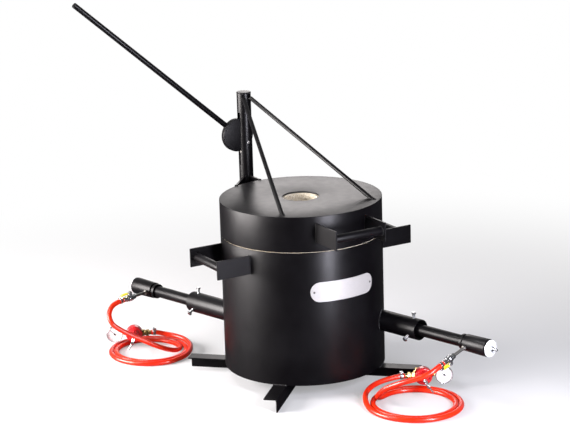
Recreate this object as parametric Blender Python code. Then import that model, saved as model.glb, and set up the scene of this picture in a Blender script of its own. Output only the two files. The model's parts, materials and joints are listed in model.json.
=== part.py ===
"""Gas forge: a lined steel drum on four angle legs, with a lid that a cam lever lifts
and a post lets swing aside, and two gas burners with hoses and regulators.

Metres, +Z up. The origin is the centre of the base plate's underside; the floor lies
one leg height below it. The front, with the name plate, faces -Y, and the lid's post
stands at +Y.
"""

import bpy
import bmesh
from math import cos, sin, tau, radians, sqrt
from mathutils import Matrix, Vector

# Clearances
GAP = 0.0003
LINING_GAP = 0.0005
OVERRUN = 0.010

# Drum
DRUM_RADIUS = 0.235
DRUM_HEIGHT = 0.392
SHELL_WALL = 0.004
BASE_PLATE = 0.006
BASE_GRIND = 0.0001
WALL_LINING = 0.0647
FLOOR_LINING = 0.054
LINING_PROUD = 0.001
SEAM = 0.0025

# Lid
LID_HEIGHT = 0.102
LID_TOP_PLATE = 0.004
VENT_RADIUS = 0.0525
VENT_LINING_STEP = 0.0045

# Legs: angle iron, flange up under the base plate, web down to the floor
ANGLE_LEG = 0.040
ANGLE_WALL = 0.004
LEG_INNER = 0.100
LEG_OVERHANG = 0.113
LEG_DIRECTIONS = {"front_left": -134, "front_right": -44, "back_right": 46, "back_left": 136}
LEG_FLANGE_SIDE = {"front_left": -1, "front_right": -1, "back_right": -1, "back_left": 1}
FLOOR = -ANGLE_LEG

# Handles, reaching out from the drum's wall
HANDLE_PLATE = 0.005
HANDLE_HEIGHT = 0.055
HANDLE_WIDTH = 0.165
HANDLE_REACH = 0.090
HANDLE_BAR_RADIUS = 0.0125
HANDLE_BAR_INSET = 0.021
BODY_HANDLE_DROP = 0.017
LID_HANDLE_DROP = 0.0205

# Name plate
NAME_PLATE_LENGTH = 0.210
NAME_PLATE_HEIGHT = 0.058
NAME_PLATE_THICKNESS = 0.0015
NAME_PLATE_DROP = 0.116

# Lifting gear: the slots and the cam's pivot are measured up from the mast's foot
POST_STANDOFF = 0.082
POST_RADIUS = 0.018
POST_BOTTOM = 0.100
THRUST_CAP = 0.006
SPIGOT_RADIUS = 0.006
SPIGOT_LENGTH = 0.018
BRACKET_THICKNESS = 0.008
BRACKET_HEIGHT = 0.060
BRACKET_DROPS = {"upper": 0.062, "lower": 0.242}
MAST_RADIUS = 0.0212
MAST_WALL = 0.0026
MAST_FOOT = 0.008
MAST_LENGTH = 0.348
MAST_CAP = 0.003
SLOT_START = 0.130
SLOT_LENGTH = 0.160
BACK_SLOT_START = 0.162
BACK_SLOT_LENGTH = 0.092
CAM_RADIUS = 0.050
CAM_THICKNESS = 0.015
CAM_SIDE_CLEARANCE = 0.0008
CAM_ECCENTRICITY = 0.035
CAM_PIVOT_RISE = 0.200
CAM_LIFT_CLEARANCE = 0.0004
PIN_RADIUS = 0.005
LEVER_ANGLE = 41.3
LEVER_RADIUS = 0.008
LEVER_REACH = 0.679
WEB_THICKNESS = 0.007
WEB_HEIGHT = 0.060
WEB_RISE = 0.002
BRACE_THICKNESS = 0.006
BRACE_FOOT_DIRECTION = 113
STAY_RADIUS = 0.006
STAY_FOOT_INSET = 0.025
STAY_FOOT_DIRECTIONS = {"left": -135, "right": -45}
STAY_HEAD_DIRECTIONS = {"left": -120, "right": -72}
STAY_HEAD_DROP = 0.013

# Burners, level, their axes inset from the chamber's wall
BURNER_DIRECTION = -75
BURNER_INSET = 0.053
BURNER_LEVEL = 0.135
HOLDER_RADIUS = 0.03015
HOLDER_WALL = 0.0029
HOLDER_END = 0.354
TUBE_RADIUS = 0.01685
TUBE_WALL = 0.0029
TUBE_START = 0.150
TUBE_SOCKET = 0.012
BELL_START = 0.511
BELL_END = 0.605
BELL_NECK_RADIUS = 0.0222
BELL_NECK = 0.010
BELL_GROOVE_RADIUS = 0.0200
BELL_GROOVE = 0.004
BELL_BODY_RADIUS = 0.0240
BELL_MOUTH_RADIUS = 0.0255
BELL_WALL = 0.003
SCREW_STATION = 0.329
SCREW_RADIUS = 0.004
SCREW_HEAD_RADIUS = 0.0072
SCREW_HEAD = 0.0055
SCREW_STAND_OFF = 0.013
SCREW_LOW_ANGLE = 30
JET_STATION = 0.537
JET_DROOP = {"right": 14, "left": 2}
JET_RADIUS = 0.0045
JET_COLLAR_RADIUS = 0.0075
JET_COLLAR = 0.006
JET_COLLAR_START = 0.0262
STUD_RADIUS = 0.004
STUD_END = 0.634
CHOKE_RADIUS = 0.025
CHOKE_THICKNESS = 0.003
CHOKE_STANDOFF = 0.004
CHOKE_NUT_RADIUS = 0.0075
CHOKE_NUT = 0.0065

# Ball valves, measured along the jet pipe
VALVE_START = 0.072
VALVE_NUT = 0.009
VALVE_NUT_RADIUS = 0.0085
VALVE_BODY_RADIUS = 0.0105
VALVE_BODY = 0.024
VALVE_TAIL_RADIUS = 0.0075
HOSE_START = 0.120
STEM_STATION = 0.090
STEM_RADIUS = 0.006
STEM_HEIGHT = 0.0142
STEM_PIN_RADIUS = 0.003
STEM_NUT_RADIUS = 0.0052
STEM_NUT = 0.003
VALVE_LEVER_THICKNESS = 0.0025
VALVE_LEVER_WIDTH = 0.010
VALVE_LEVER_LENGTH = 0.036
VALVE_STEM_SIDE = {"right": -1, "left": 1}

# Regulators: where each body lies, and where its hose outlet and its screw point
REGULATOR_PLACE = {"right": (0.200, -0.323), "left": (-0.308, 0.508)}
REGULATOR_OUTLET_DIRECTION = {"right": 155, "left": -30}
REGULATOR_SCREW_DIRECTION = {"right": -115, "left": -120}
REGULATOR_HEIGHT = 0.0425
REGULATOR_RADIUS = 0.0255
REGULATOR_DEPTH = 0.030
REGULATOR_BACK = 0.012
BONNET_RADIUS = 0.0195
BONNET_TIP_RADIUS = 0.0095
BONNET_LENGTH = 0.028
OUTLET_NUT_RADIUS = 0.0105
OUTLET_NUT_END = 0.045
OUTLET_TAIL_RADIUS = 0.0068
OUTLET_END = 0.053
GAUGE_STEM_RADIUS = 0.0065
GAUGE_DISTANCE = 0.060
GAUGE_RADIUS = 0.025
GAUGE_DEPTH = 0.020
GAUGE_RIM = 0.0022
GAUGE_RECESS = 0.006
GAUGE_BACKSET = 0.006
NEEDLE_HUB_RADIUS = 0.0028
NEEDLE_HUB = 0.0026
NEEDLE_LENGTH = 0.017
NEEDLE_TAIL = 0.006
NEEDLE_WIDTH = 0.0016
NEEDLE_THICKNESS = 0.0008
NEEDLE_REST = 45
INLET_NUT_RADIUS = 0.0105
INLET_LENGTH = 0.020
INLET_OFFSET = {"right": 0.014, "left": 0.004}
INLET_RISE = 0.004
T_SCREW_RADIUS = 0.004
T_SCREW_REACH = 0.100
T_SCREW_DEPTH = 0.030
T_BAR_RADIUS = 0.0024
T_BAR_LENGTH = 0.048
T_BAR_TILT = {"right": 54, "left": -58}

# Hoses: hand-chosen points (x, y, height above the floor) around a spiral on the floor
HOSE_RADIUS = 0.0075
HOSE_REST = 0.0078
SPIRAL_PITCH = 0.0158
SPIRAL_STRETCH = 0.006
SPIRAL_STEP = 12
RIGHT_SPIRAL = {"centre": (0.105, -0.426), "radius": 0.104, "start": 114, "turn": -672}
LEFT_SPIRAL = {"centre": (-0.298, 0.424), "radius": 0.094, "start": -2, "turn": 636}
RIGHT_DROP = [
    (0.090, -0.524, 0.1285), (0.058, -0.507, 0.1145), (0.030, -0.473, 0.098),
    (0.010, -0.426, 0.073), (0.006, -0.394, 0.048), (0.0188, -0.3645, 0.028),
    (0.038, -0.3417, 0.0145),
]
RIGHT_LEAD = [
    (-0.0116, -0.350, 0.0135), (0.0112, -0.3135, 0.022), (0.047, -0.291, 0.031),
    (0.090, -0.287, 0.038),
]
LEFT_DROP = [
    (-0.406, 0.447, 0.163), (-0.426, 0.430, 0.145), (-0.426, 0.413, 0.121),
    (-0.405, 0.405, 0.100), (-0.374, 0.396, 0.079), (-0.342, 0.387, 0.060),
    (-0.309, 0.374, 0.041), (-0.274, 0.363, 0.0245), (-0.241, 0.3655, 0.0135),
    (-0.212, 0.3907, 0.0085),
]
LEFT_LEAD = [
    (-0.240, 0.3097, 0.0105), (-0.2085, 0.3335, 0.0165), (-0.1897, 0.3685, 0.0225),
    (-0.1881, 0.4077, 0.0270), (-0.2015, 0.442, 0.0305), (-0.2247, 0.4658, 0.035),
]
HOSE_STRAIGHT = 0.015
HOSE_SQUARE_END = 0.004
CURVE_STEPS = 3
ROUND_SIDES = 48
TUBE_SIDES = 24
SMALL_SIDES = 12
SMOOTH_ANGLE = 35

# Derived places
INNER_RADIUS = DRUM_RADIUS - SHELL_WALL
LINING_RADIUS = INNER_RADIUS - GAP
CHAMBER_RADIUS = LINING_RADIUS - WALL_LINING
LEG_OUTER = DRUM_RADIUS + LEG_OVERHANG
BASE_MIDDLE = LEG_INNER - ANGLE_WALL
HANDLE_END = DRUM_RADIUS + HANDLE_REACH
LID_BOTTOM = DRUM_HEIGHT + SEAM
LID_TOP = LID_BOTTOM + LID_HEIGHT
WALL_LINING_TOP = DRUM_HEIGHT + LINING_PROUD
LID_LINING_BOTTOM = WALL_LINING_TOP + LINING_GAP
FLOOR_LINING_TOP = BASE_PLATE + GAP + FLOOR_LINING
BURNER_OFFSET = CHAMBER_RADIUS - BURNER_INSET
POST_OFFSET = DRUM_RADIUS + POST_STANDOFF
NAME_PLATE_LEVEL = DRUM_HEIGHT - NAME_PLATE_DROP
BRACKET_LEVELS = {name: DRUM_HEIGHT - drop for name, drop in BRACKET_DROPS.items()}
MAST_BOTTOM = DRUM_HEIGHT + MAST_FOOT
MAST_TOP = MAST_BOTTOM + MAST_LENGTH
SLOT_BOTTOM = MAST_BOTTOM + SLOT_START
SLOT_TOP = SLOT_BOTTOM + SLOT_LENGTH
BACK_SLOT_BOTTOM = MAST_BOTTOM + BACK_SLOT_START
BACK_SLOT_TOP = BACK_SLOT_BOTTOM + BACK_SLOT_LENGTH
STAY_FOOT_RADIUS = DRUM_RADIUS - STAY_FOOT_INSET
STAY_HEAD_LEVEL = MAST_TOP - STAY_HEAD_DROP
CAM_PIVOT_LEVEL = MAST_BOTTOM + CAM_PIVOT_RISE
LEVER_TILT = radians(LEVER_ANGLE)
CAM_CENTRE = Vector((
    -CAM_ECCENTRICITY * cos(LEVER_TILT),
    POST_OFFSET,
    CAM_PIVOT_LEVEL + CAM_ECCENTRICITY * sin(LEVER_TILT),
))
# The cam rests over the post's near edge, so the post's top follows from the cam.
CAM_OVER_EDGE = sqrt(CAM_RADIUS ** 2 - (CAM_CENTRE.x + POST_RADIUS) ** 2)
THRUST_TOP = CAM_CENTRE.z - CAM_OVER_EDGE - CAM_LIFT_CLEARANCE
POST_TOP = THRUST_TOP - THRUST_CAP - GAP
CHOKE_PLACE = BELL_END + CHOKE_STANDOFF


def clear_scene():
    """Start from an empty scene."""
    for item in list(bpy.data.objects):
        bpy.data.objects.remove(item, do_unlink=True)


def material(name, colour, roughness, metallic=0.0):
    """A plain Principled material, made once for each name."""
    existing = bpy.data.materials.get(name)
    if existing:
        return existing
    made = bpy.data.materials.new(name)
    made.use_nodes = True
    shader = made.node_tree.nodes["Principled BSDF"]
    shader.inputs["Base Color"].default_value = (*colour, 1.0)
    shader.inputs["Roughness"].default_value = roughness
    shader.inputs["Metallic"].default_value = metallic
    made.diffuse_color = (*colour, 1.0)
    return made


def black_paint():
    return material("black paint", (0.018, 0.018, 0.019), 0.45)


def bare_steel():
    return material("bare steel", (0.52, 0.50, 0.47), 0.35, 1.0)


def zinc():
    return material("zinc", (0.72, 0.73, 0.74), 0.28, 1.0)


def refractory():
    return material("refractory", (0.62, 0.55, 0.43), 0.95)


def aluminium():
    return material("brushed aluminium", (0.80, 0.80, 0.79), 0.38, 1.0)


def orange_hose():
    return material("orange hose", (0.86, 0.09, 0.015), 0.35)


def red_enamel():
    return material("red enamel", (0.60, 0.015, 0.02), 0.30)


def yellow_vinyl():
    return material("yellow vinyl", (0.85, 0.72, 0.03), 0.45)


def dial_black():
    return material("dial black", (0.03, 0.03, 0.03), 0.5)


def finish(name, mesh_builder, skin, place=None, axis=None):
    """Turn a bmesh into a named object whose faces point out.

    place is a matrix; with an axis point, the object's origin is put there instead.
    """
    bmesh.ops.recalc_face_normals(mesh_builder, faces=mesh_builder.faces)
    mesh = bpy.data.meshes.new(name)
    mesh_builder.to_mesh(mesh)
    mesh_builder.free()
    place = place or Matrix()
    if axis is not None:
        world = Matrix.Translation(axis)
        mesh.transform(world.inverted() @ place)
        place = world
    mesh.shade_smooth()
    mesh.set_sharp_from_angle(angle=radians(SMOOTH_ANGLE))
    made = bpy.data.objects.new(name, mesh)
    made.matrix_world = place
    made.data.materials.append(skin)
    bpy.context.scene.collection.objects.link(made)
    return made


def turned(outline, sides):
    """A solid of revolution about Z from a closed outline of (radius, height) pairs.

    Points on the axis become one vertex, so a solid starts and ends there.
    """
    build = bmesh.new()
    rings = []
    for radius, height in outline:
        if radius == 0:
            rings.append([build.verts.new((0, 0, height))])
            continue
        turn = [tau * k / sides for k in range(sides)]
        rings.append([build.verts.new((radius * cos(a), radius * sin(a), height)) for a in turn])
    pairs = list(zip(rings, rings[1:] + rings[:1]))
    for first, second in pairs:
        if len(first) == 1 and len(second) == 1:
            continue
        for k in range(sides):
            nxt = (k + 1) % sides
            corners = [first[k % len(first)], first[nxt % len(first)],
                       second[nxt % len(second)], second[k % len(second)]]
            build.faces.new(list(dict.fromkeys(corners)))
    return build


def rod(radius, start, end, sides=TUBE_SIDES):
    """A plain round bar along Z."""
    return turned([(0, start), (radius, start), (radius, end), (0, end)], sides)


def pipe(outer, inner, start, end, sides=TUBE_SIDES):
    """A round pipe along Z, open at both ends."""
    return turned([(outer, start), (outer, end), (inner, end), (inner, start)], sides)


def prism(outline, start, end):
    """A straight solid along Z over a flat outline of (x, y) pairs."""
    build = bmesh.new()
    low = [build.verts.new((x, y, start)) for x, y in outline]
    high = [build.verts.new((x, y, end)) for x, y in outline]
    build.faces.new(low)
    build.faces.new(high)
    for k in range(len(outline)):
        nxt = (k + 1) % len(outline)
        build.faces.new([low[k], low[nxt], high[nxt], high[k]])
    return build


def block(low, high):
    """A box between two corners."""
    outline = [(low[0], low[1]), (high[0], low[1]), (high[0], high[1]), (low[0], high[1])]
    return prism(outline, low[2], high[2])


def hexagon(radius, start, end):
    """A hexagonal bar along Z; radius is measured to its corners."""
    outline = [(radius * cos(tau * k / 6), radius * sin(tau * k / 6)) for k in range(6)]
    return prism(outline, start, end)


def aim(origin, forward, side=None):
    """A matrix with its Z along forward, and its X as near as can be to side."""
    z = Vector(forward).normalized()
    x = Vector(side) if side is not None else z.orthogonal()
    x = (x - z * x.dot(z)).normalized()
    y = z.cross(x)
    turn = Matrix((x, y, z)).transposed().to_4x4()
    return Matrix.Translation(Vector(origin)) @ turn


def heading(degrees_from_x, droop=0.0):
    """A unit vector at a compass angle from +X, dipping by droop degrees."""
    angle = radians(degrees_from_x)
    dip = radians(droop)
    return Vector((cos(angle) * cos(dip), sin(angle) * cos(dip), -sin(dip)))


def modify(target, tool, operation):
    """Apply one shape to another with an exact Boolean; the tool stays as a hidden guide."""
    tool.hide_render = True
    tool.display_type = "WIRE"
    change = target.modifiers.new(operation.lower() + " " + tool.name, "BOOLEAN")
    change.operation = operation
    change.solver = "EXACT"
    change.object = tool
    return change


def cut(target, builder, place=None):
    """Cut a shape out of target."""
    count = len(target.modifiers)
    tool = finish(target.name + ".cutter" + str(count), builder, target.data.materials[0], place)
    return modify(target, tool, "DIFFERENCE")


def weld(target, builder, place=None):
    """Weld a shape onto target."""
    count = len(target.modifiers)
    tool = finish(target.name + ".added" + str(count), builder, target.data.materials[0], place)
    return modify(target, tool, "UNION")


class Burner:
    """One burner's axis: a level line that passes the chamber's centre at an offset."""

    def __init__(self, side):
        sign = 1 if side == "right" else -1
        self.side = side
        self.axis = heading(BURNER_DIRECTION) * sign
        self.across = heading(BURNER_DIRECTION + 90)
        self.root = self.across * BURNER_OFFSET * sign + Vector((0, 0, BURNER_LEVEL))
        self.line = aim(self.root, self.axis, self.across)
        droop = radians(JET_DROOP[side])
        self.jet = -self.across * cos(droop) - Vector((0, 0, 1)) * sin(droop)
        self.jet_root = self.at(JET_STATION)

    def at(self, distance):
        return self.root + self.axis * distance


def make_drum(burners):
    """The steel drum, its base plate and its refractory lining, bored for both burners.

    The base plate's underside is ground where the legs are welded on, outside BASE_MIDDLE.
    """
    shell = finish("drum_shell",
                   pipe(DRUM_RADIUS, INNER_RADIUS, 0, DRUM_HEIGHT, ROUND_SIDES * 2), black_paint())
    finish("base_plate",
           turned([(0, 0), (BASE_MIDDLE, 0), (BASE_MIDDLE, BASE_GRIND),
                   (INNER_RADIUS - GAP, BASE_GRIND), (INNER_RADIUS - GAP, BASE_PLATE),
                   (0, BASE_PLATE)], ROUND_SIDES), black_paint())
    floor = rod(LINING_RADIUS, BASE_PLATE + GAP, FLOOR_LINING_TOP, ROUND_SIDES)
    finish("floor_lining", floor, refractory())
    wall = finish("wall_lining",
                  pipe(LINING_RADIUS, CHAMBER_RADIUS, FLOOR_LINING_TOP + GAP, WALL_LINING_TOP,
                       ROUND_SIDES), refractory())
    for burner in burners:
        bore = TUBE_RADIUS + GAP
        cut(shell, rod(bore, 0, DRUM_RADIUS + OVERRUN), burner.line)
        cut(wall, rod(bore, 0, DRUM_RADIUS + OVERRUN), burner.line)


def make_legs():
    """Four lengths of angle iron under the base plate."""
    for name, direction in LEG_DIRECTIONS.items():
        side = LEG_FLANGE_SIDE[name]
        wide = ANGLE_LEG * side
        wall = ANGLE_WALL * side
        outline = [(0, -GAP), (wide, -GAP), (wide, -GAP - ANGLE_WALL), (wall, -GAP - ANGLE_WALL),
                   (wall, FLOOR), (0, FLOOR)]
        build = prism(outline, LEG_INNER, LEG_OUTER)
        place = aim((0, 0, 0), heading(direction), heading(direction + 90))
        finish("leg_" + name, build, black_paint(), place)


def handle(name, direction, bottom):
    """Two upright plates welded to the wall, with a round bar between their outer ends."""
    half = HANDLE_WIDTH / 2
    inside = half - HANDLE_PLATE
    top = bottom + HANDLE_HEIGHT
    start = sqrt(DRUM_RADIUS ** 2 - half ** 2) - OVERRUN
    place = Matrix.Rotation(radians(direction), 4, "Z")
    made = finish(name, block((start, inside, bottom), (HANDLE_END, half, top)),
                  black_paint(), place)
    weld(made, block((start, -half, bottom), (HANDLE_END, -inside, top)), place)
    middle = (bottom + top) / 2
    bar_place = place @ aim((HANDLE_END - HANDLE_BAR_INSET, 0, middle), (0, 1, 0))
    bite = HANDLE_PLATE / 2
    weld(made, rod(HANDLE_BAR_RADIUS, -inside - bite, inside + bite, SMALL_SIDES * 2), bar_place)
    cut(made, rod(DRUM_RADIUS + GAP, bottom - OVERRUN, top + OVERRUN, ROUND_SIDES * 2))
    return made


def make_name_plate():
    """A blank plate with round ends, bent round the front of the drum."""
    inner = DRUM_RADIUS + GAP
    outer = inner + NAME_PLATE_THICKNESS
    half_length = NAME_PLATE_LENGTH / 2
    half_height = NAME_PLATE_HEIGHT / 2
    straight = half_length - half_height
    round_columns = 8
    straight_columns = 10
    columns = []
    for k in range(1, round_columns):
        swing = tau / 4 * k / round_columns
        columns.append((-straight - half_height * cos(swing), half_height * sin(swing)))
    for k in range(straight_columns + 1):
        columns.append((-straight + 2 * straight * k / straight_columns, half_height))
    for place, height in reversed(columns[:round_columns - 1]):
        columns.append((-place, height))
    build = bmesh.new()

    def corner(along, height, radius):
        turn = radians(-90) + along / inner
        return build.verts.new((radius * cos(turn), radius * sin(turn), NAME_PLATE_LEVEL + height))

    loops = [[corner(s, h, outer), corner(s, -h, outer), corner(s, -h, inner), corner(s, h, inner)]
             for s, h in columns]
    first = [corner(-half_length, 0, outer), corner(-half_length, 0, inner)]
    last = [corner(half_length, 0, outer), corner(half_length, 0, inner)]
    for a, b in zip(loops, loops[1:]):
        for k in range(4):
            nxt = (k + 1) % 4
            build.faces.new([a[k], a[nxt], b[nxt], b[k]])
    for tip, loop in ((first, loops[0]), (last, loops[-1])):
        build.faces.new([tip[0], loop[0], loop[1]])
        build.faces.new([tip[1], loop[2], loop[3]])
        build.faces.new([tip[0], loop[0], loop[3], tip[1]])
        build.faces.new([tip[0], loop[1], loop[2], tip[1]])
    finish("name_plate", build, aluminium())


def make_lid():
    """The lid's steel shell with its vent, and its lining."""
    top = LID_TOP - LID_TOP_PLATE
    outline = [(DRUM_RADIUS, LID_BOTTOM), (DRUM_RADIUS, LID_TOP), (VENT_RADIUS, LID_TOP),
               (VENT_RADIUS, top), (INNER_RADIUS, top), (INNER_RADIUS, LID_BOTTOM)]
    finish("lid_shell", turned(outline, ROUND_SIDES * 2), black_paint())
    bore = VENT_RADIUS - VENT_LINING_STEP
    finish("lid_lining", pipe(LINING_RADIUS, bore, LID_LINING_BOTTOM, top - GAP, ROUND_SIDES),
           refractory())


def make_post():
    """The fixed post behind the drum, on two bracket plates, with its thrust cap."""
    post = finish("post", rod(POST_RADIUS, POST_BOTTOM, POST_TOP), black_paint(),
                  Matrix.Translation((0, POST_OFFSET, 0)))
    bore_bottom = POST_TOP - SPIGOT_LENGTH - GAP
    cut(post, rod(SPIGOT_RADIUS + GAP, bore_bottom, POST_TOP + OVERRUN, SMALL_SIDES),
        Matrix.Translation((0, POST_OFFSET, 0)))
    start = DRUM_RADIUS - OVERRUN
    end = POST_OFFSET
    for name, level in BRACKET_LEVELS.items():
        half = BRACKET_THICKNESS / 2
        low = level - BRACKET_HEIGHT / 2
        high = level + BRACKET_HEIGHT / 2
        plate = finish("post_bracket_" + name, block((-half, start, low), (half, end, high)),
                       black_paint())
        cut(plate, rod(DRUM_RADIUS + GAP, low - OVERRUN, high + OVERRUN, ROUND_SIDES * 2))
        cut(plate, rod(POST_RADIUS + GAP, low - OVERRUN, high + OVERRUN),
            Matrix.Translation((0, POST_OFFSET, 0)))
    cap_bottom = POST_TOP + GAP
    outline = [(0, cap_bottom - SPIGOT_LENGTH), (SPIGOT_RADIUS, cap_bottom - SPIGOT_LENGTH),
               (SPIGOT_RADIUS, cap_bottom), (POST_RADIUS, cap_bottom), (POST_RADIUS, THRUST_TOP),
               (0, THRUST_TOP)]
    finish("thrust_cap", turned(outline, SMALL_SIDES * 2), bare_steel(),
           Matrix.Translation((0, POST_OFFSET, 0)))


def make_mast():
    """The mast: a slotted tube over the post that carries the lid."""
    at_post = Matrix.Translation((0, POST_OFFSET, 0))
    mast = finish("mast_tube", pipe(MAST_RADIUS, MAST_RADIUS - MAST_WALL, MAST_BOTTOM, MAST_TOP),
                  black_paint(), at_post)
    half = CAM_THICKNESS / 2 + CAM_SIDE_CLEARANCE
    beyond = MAST_RADIUS + OVERRUN
    cut(mast, block((-beyond, -half, SLOT_BOTTOM), (0, half, SLOT_TOP)), at_post)
    cut(mast, block((0, -half, BACK_SLOT_BOTTOM), (beyond, half, BACK_SLOT_TOP)), at_post)
    pivot = aim((0, POST_OFFSET, CAM_PIVOT_LEVEL), (0, 1, 0))
    cut(mast, rod(PIN_RADIUS + GAP, -beyond, beyond, SMALL_SIDES), pivot)
    finish("cam_pin", rod(PIN_RADIUS, -MAST_RADIUS, MAST_RADIUS, SMALL_SIDES), bare_steel(), pivot)
    finish("mast_cap", rod(MAST_RADIUS, MAST_TOP + GAP, MAST_TOP + GAP + MAST_CAP),
           black_paint(), at_post)


def make_mast_plates():
    """The radial web and the slanted brace between the lid's rim and the mast."""
    top = LID_TOP + WEB_RISE
    low = top - WEB_HEIGHT
    mast_clear = rod(MAST_RADIUS + GAP, low - OVERRUN, top + OVERRUN)
    half = WEB_THICKNESS / 2
    start = DRUM_RADIUS - OVERRUN
    web = finish("mast_web", block((-half, start, low), (half, POST_OFFSET, top)), black_paint())
    cut(web, rod(DRUM_RADIUS + GAP, low - OVERRUN, top + OVERRUN, ROUND_SIDES * 2))
    cut(web, mast_clear, Matrix.Translation((0, POST_OFFSET, 0)))
    foot = heading(BRACE_FOOT_DIRECTION) * DRUM_RADIUS
    reach = Vector((0, POST_OFFSET, 0)) - foot
    thin = BRACE_THICKNESS / 2
    place = aim(foot, (0, 0, 1), reach)
    # The slanted plate starts inside the rim, which then trims it to the lid's wall.
    bite = BRACE_THICKNESS * 2
    brace = finish("mast_brace", block((-bite, -thin, low), (reach.length, thin, top)),
                   black_paint(), place)
    cut(brace, rod(DRUM_RADIUS + GAP, low - OVERRUN, top + OVERRUN, ROUND_SIDES * 2))
    cut(brace, rod(MAST_RADIUS + GAP, low - OVERRUN, top + OVERRUN),
        Matrix.Translation((0, POST_OFFSET, 0)))


def make_stays():
    """Two round stays from the lid's top to the mast's head."""
    for side in ("left", "right"):
        foot = heading(STAY_FOOT_DIRECTIONS[side]) * STAY_FOOT_RADIUS + Vector((0, 0, LID_TOP))
        stand = MAST_RADIUS + STAY_RADIUS + GAP
        head = heading(STAY_HEAD_DIRECTIONS[side]) * stand
        head += Vector((0, POST_OFFSET, STAY_HEAD_LEVEL))
        run = head - foot
        place = aim(foot, run)
        stay = finish("stay_" + side, rod(STAY_RADIUS, -OVERRUN, run.length, SMALL_SIDES),
                      black_paint(), place)
        cut(stay, block((-DRUM_RADIUS, -DRUM_RADIUS, LID_TOP - LID_HEIGHT),
                        (DRUM_RADIUS, DRUM_RADIUS, LID_TOP + GAP)))


def make_lever():
    """The eccentric disc on its pin, and the lever rod on the disc's rim."""
    pivot = Vector((0, POST_OFFSET, CAM_PIVOT_LEVEL))
    disc_place = aim(CAM_CENTRE, (0, 1, 0))
    half = CAM_THICKNESS / 2
    disc = finish("cam_disc", rod(CAM_RADIUS, -half, half, ROUND_SIDES), black_paint(),
                  disc_place, pivot)
    cut(disc, rod(PIN_RADIUS + GAP, -MAST_RADIUS, MAST_RADIUS, SMALL_SIDES),
        aim(pivot, (0, 1, 0)))
    direction = Vector((-cos(LEVER_TILT), 0, sin(LEVER_TILT)))
    finish("lever_rod", rod(LEVER_RADIUS, CAM_RADIUS + GAP, LEVER_REACH, SMALL_SIDES * 2),
           black_paint(), aim(CAM_CENTRE, direction), pivot)


def make_holder(burner):
    """The burner's holder pipe on the drum, and its two set screws."""
    name = burner.side + "_"
    holder = finish(name + "burner_holder",
                    pipe(HOLDER_RADIUS, HOLDER_RADIUS - HOLDER_WALL, CHAMBER_RADIUS, HOLDER_END),
                    black_paint(), burner.line)
    cut(holder, rod(DRUM_RADIUS + GAP, 0, DRUM_HEIGHT, ROUND_SIDES * 2))
    station = burner.at(SCREW_STATION)
    low = heading(BURNER_DIRECTION - 90, SCREW_LOW_ANGLE)
    for kind, outward in (("top", Vector((0, 0, 1))), ("low", low)):
        place = aim(station, outward, burner.axis)
        cut(holder, rod(SCREW_RADIUS + GAP, TUBE_RADIUS, HOLDER_RADIUS + OVERRUN, SMALL_SIDES),
            place)
        shoulder = HOLDER_RADIUS + SCREW_STAND_OFF
        screw = finish(name + "set_screw_" + kind,
                       rod(SCREW_RADIUS, TUBE_RADIUS + GAP, shoulder + GAP, SMALL_SIDES),
                       zinc(), place)
        weld(screw, hexagon(SCREW_HEAD_RADIUS, shoulder, shoulder + SCREW_HEAD), place)


def make_burner(burner):
    """The burner tube, its bell, and the jet pipe that crosses the bell."""
    name = burner.side + "_"
    tube_end = BELL_START + TUBE_SOCKET
    finish(name + "burner_tube",
           pipe(TUBE_RADIUS, TUBE_RADIUS - TUBE_WALL, TUBE_START, tube_end - GAP), black_paint(),
           burner.line)
    socket = TUBE_RADIUS + GAP
    bore = TUBE_RADIUS - TUBE_WALL
    neck = BELL_START + BELL_NECK
    groove = neck + BELL_GROOVE
    outline = [(socket, BELL_START), (BELL_NECK_RADIUS, BELL_START), (BELL_NECK_RADIUS, neck),
               (BELL_GROOVE_RADIUS, neck), (BELL_GROOVE_RADIUS, groove),
               (BELL_BODY_RADIUS, groove), (BELL_MOUTH_RADIUS, BELL_END),
               (BELL_MOUTH_RADIUS - BELL_WALL, BELL_END),
               (BELL_BODY_RADIUS - BELL_WALL, groove + BELL_NECK), (bore, tube_end),
               (socket, tube_end)]
    bell = finish(name + "burner_bell", turned(outline, TUBE_SIDES), black_paint(), burner.line)
    across = aim(burner.jet_root, burner.jet, burner.axis)
    cut(bell, rod(JET_RADIUS + GAP, 0, VALVE_START, SMALL_SIDES), across)
    jet_end = VALVE_START - GAP
    collar_end = JET_COLLAR_START + JET_COLLAR
    outline = [(0, -JET_RADIUS), (JET_RADIUS, -JET_RADIUS), (JET_RADIUS, JET_COLLAR_START),
               (JET_COLLAR_RADIUS, JET_COLLAR_START), (JET_COLLAR_RADIUS, collar_end),
               (JET_RADIUS, collar_end), (JET_RADIUS, jet_end), (0, jet_end)]
    finish(name + "jet_pipe", turned(outline, SMALL_SIDES), bare_steel(), across)


def make_choke(burner):
    """The stud in front of the jet, and the choke disc with its nut that slides on it."""
    name = burner.side + "_"
    stud_start = JET_STATION + JET_RADIUS + GAP
    finish(name + "choke_stud", rod(STUD_RADIUS, stud_start, STUD_END, SMALL_SIDES), zinc(),
           burner.line)
    disc = finish(name + "choke_disc",
                  rod(CHOKE_RADIUS, CHOKE_PLACE, CHOKE_PLACE + CHOKE_THICKNESS), zinc(),
                  burner.line, burner.at(CHOKE_PLACE))
    nut_start = CHOKE_PLACE + CHOKE_THICKNESS / 2
    nut_end = CHOKE_PLACE + CHOKE_THICKNESS + CHOKE_NUT
    weld(disc, hexagon(CHOKE_NUT_RADIUS, nut_start, nut_end), burner.line)
    cut(disc, rod(STUD_RADIUS + GAP, BELL_END, STUD_END + OVERRUN, SMALL_SIDES), burner.line)


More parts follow.
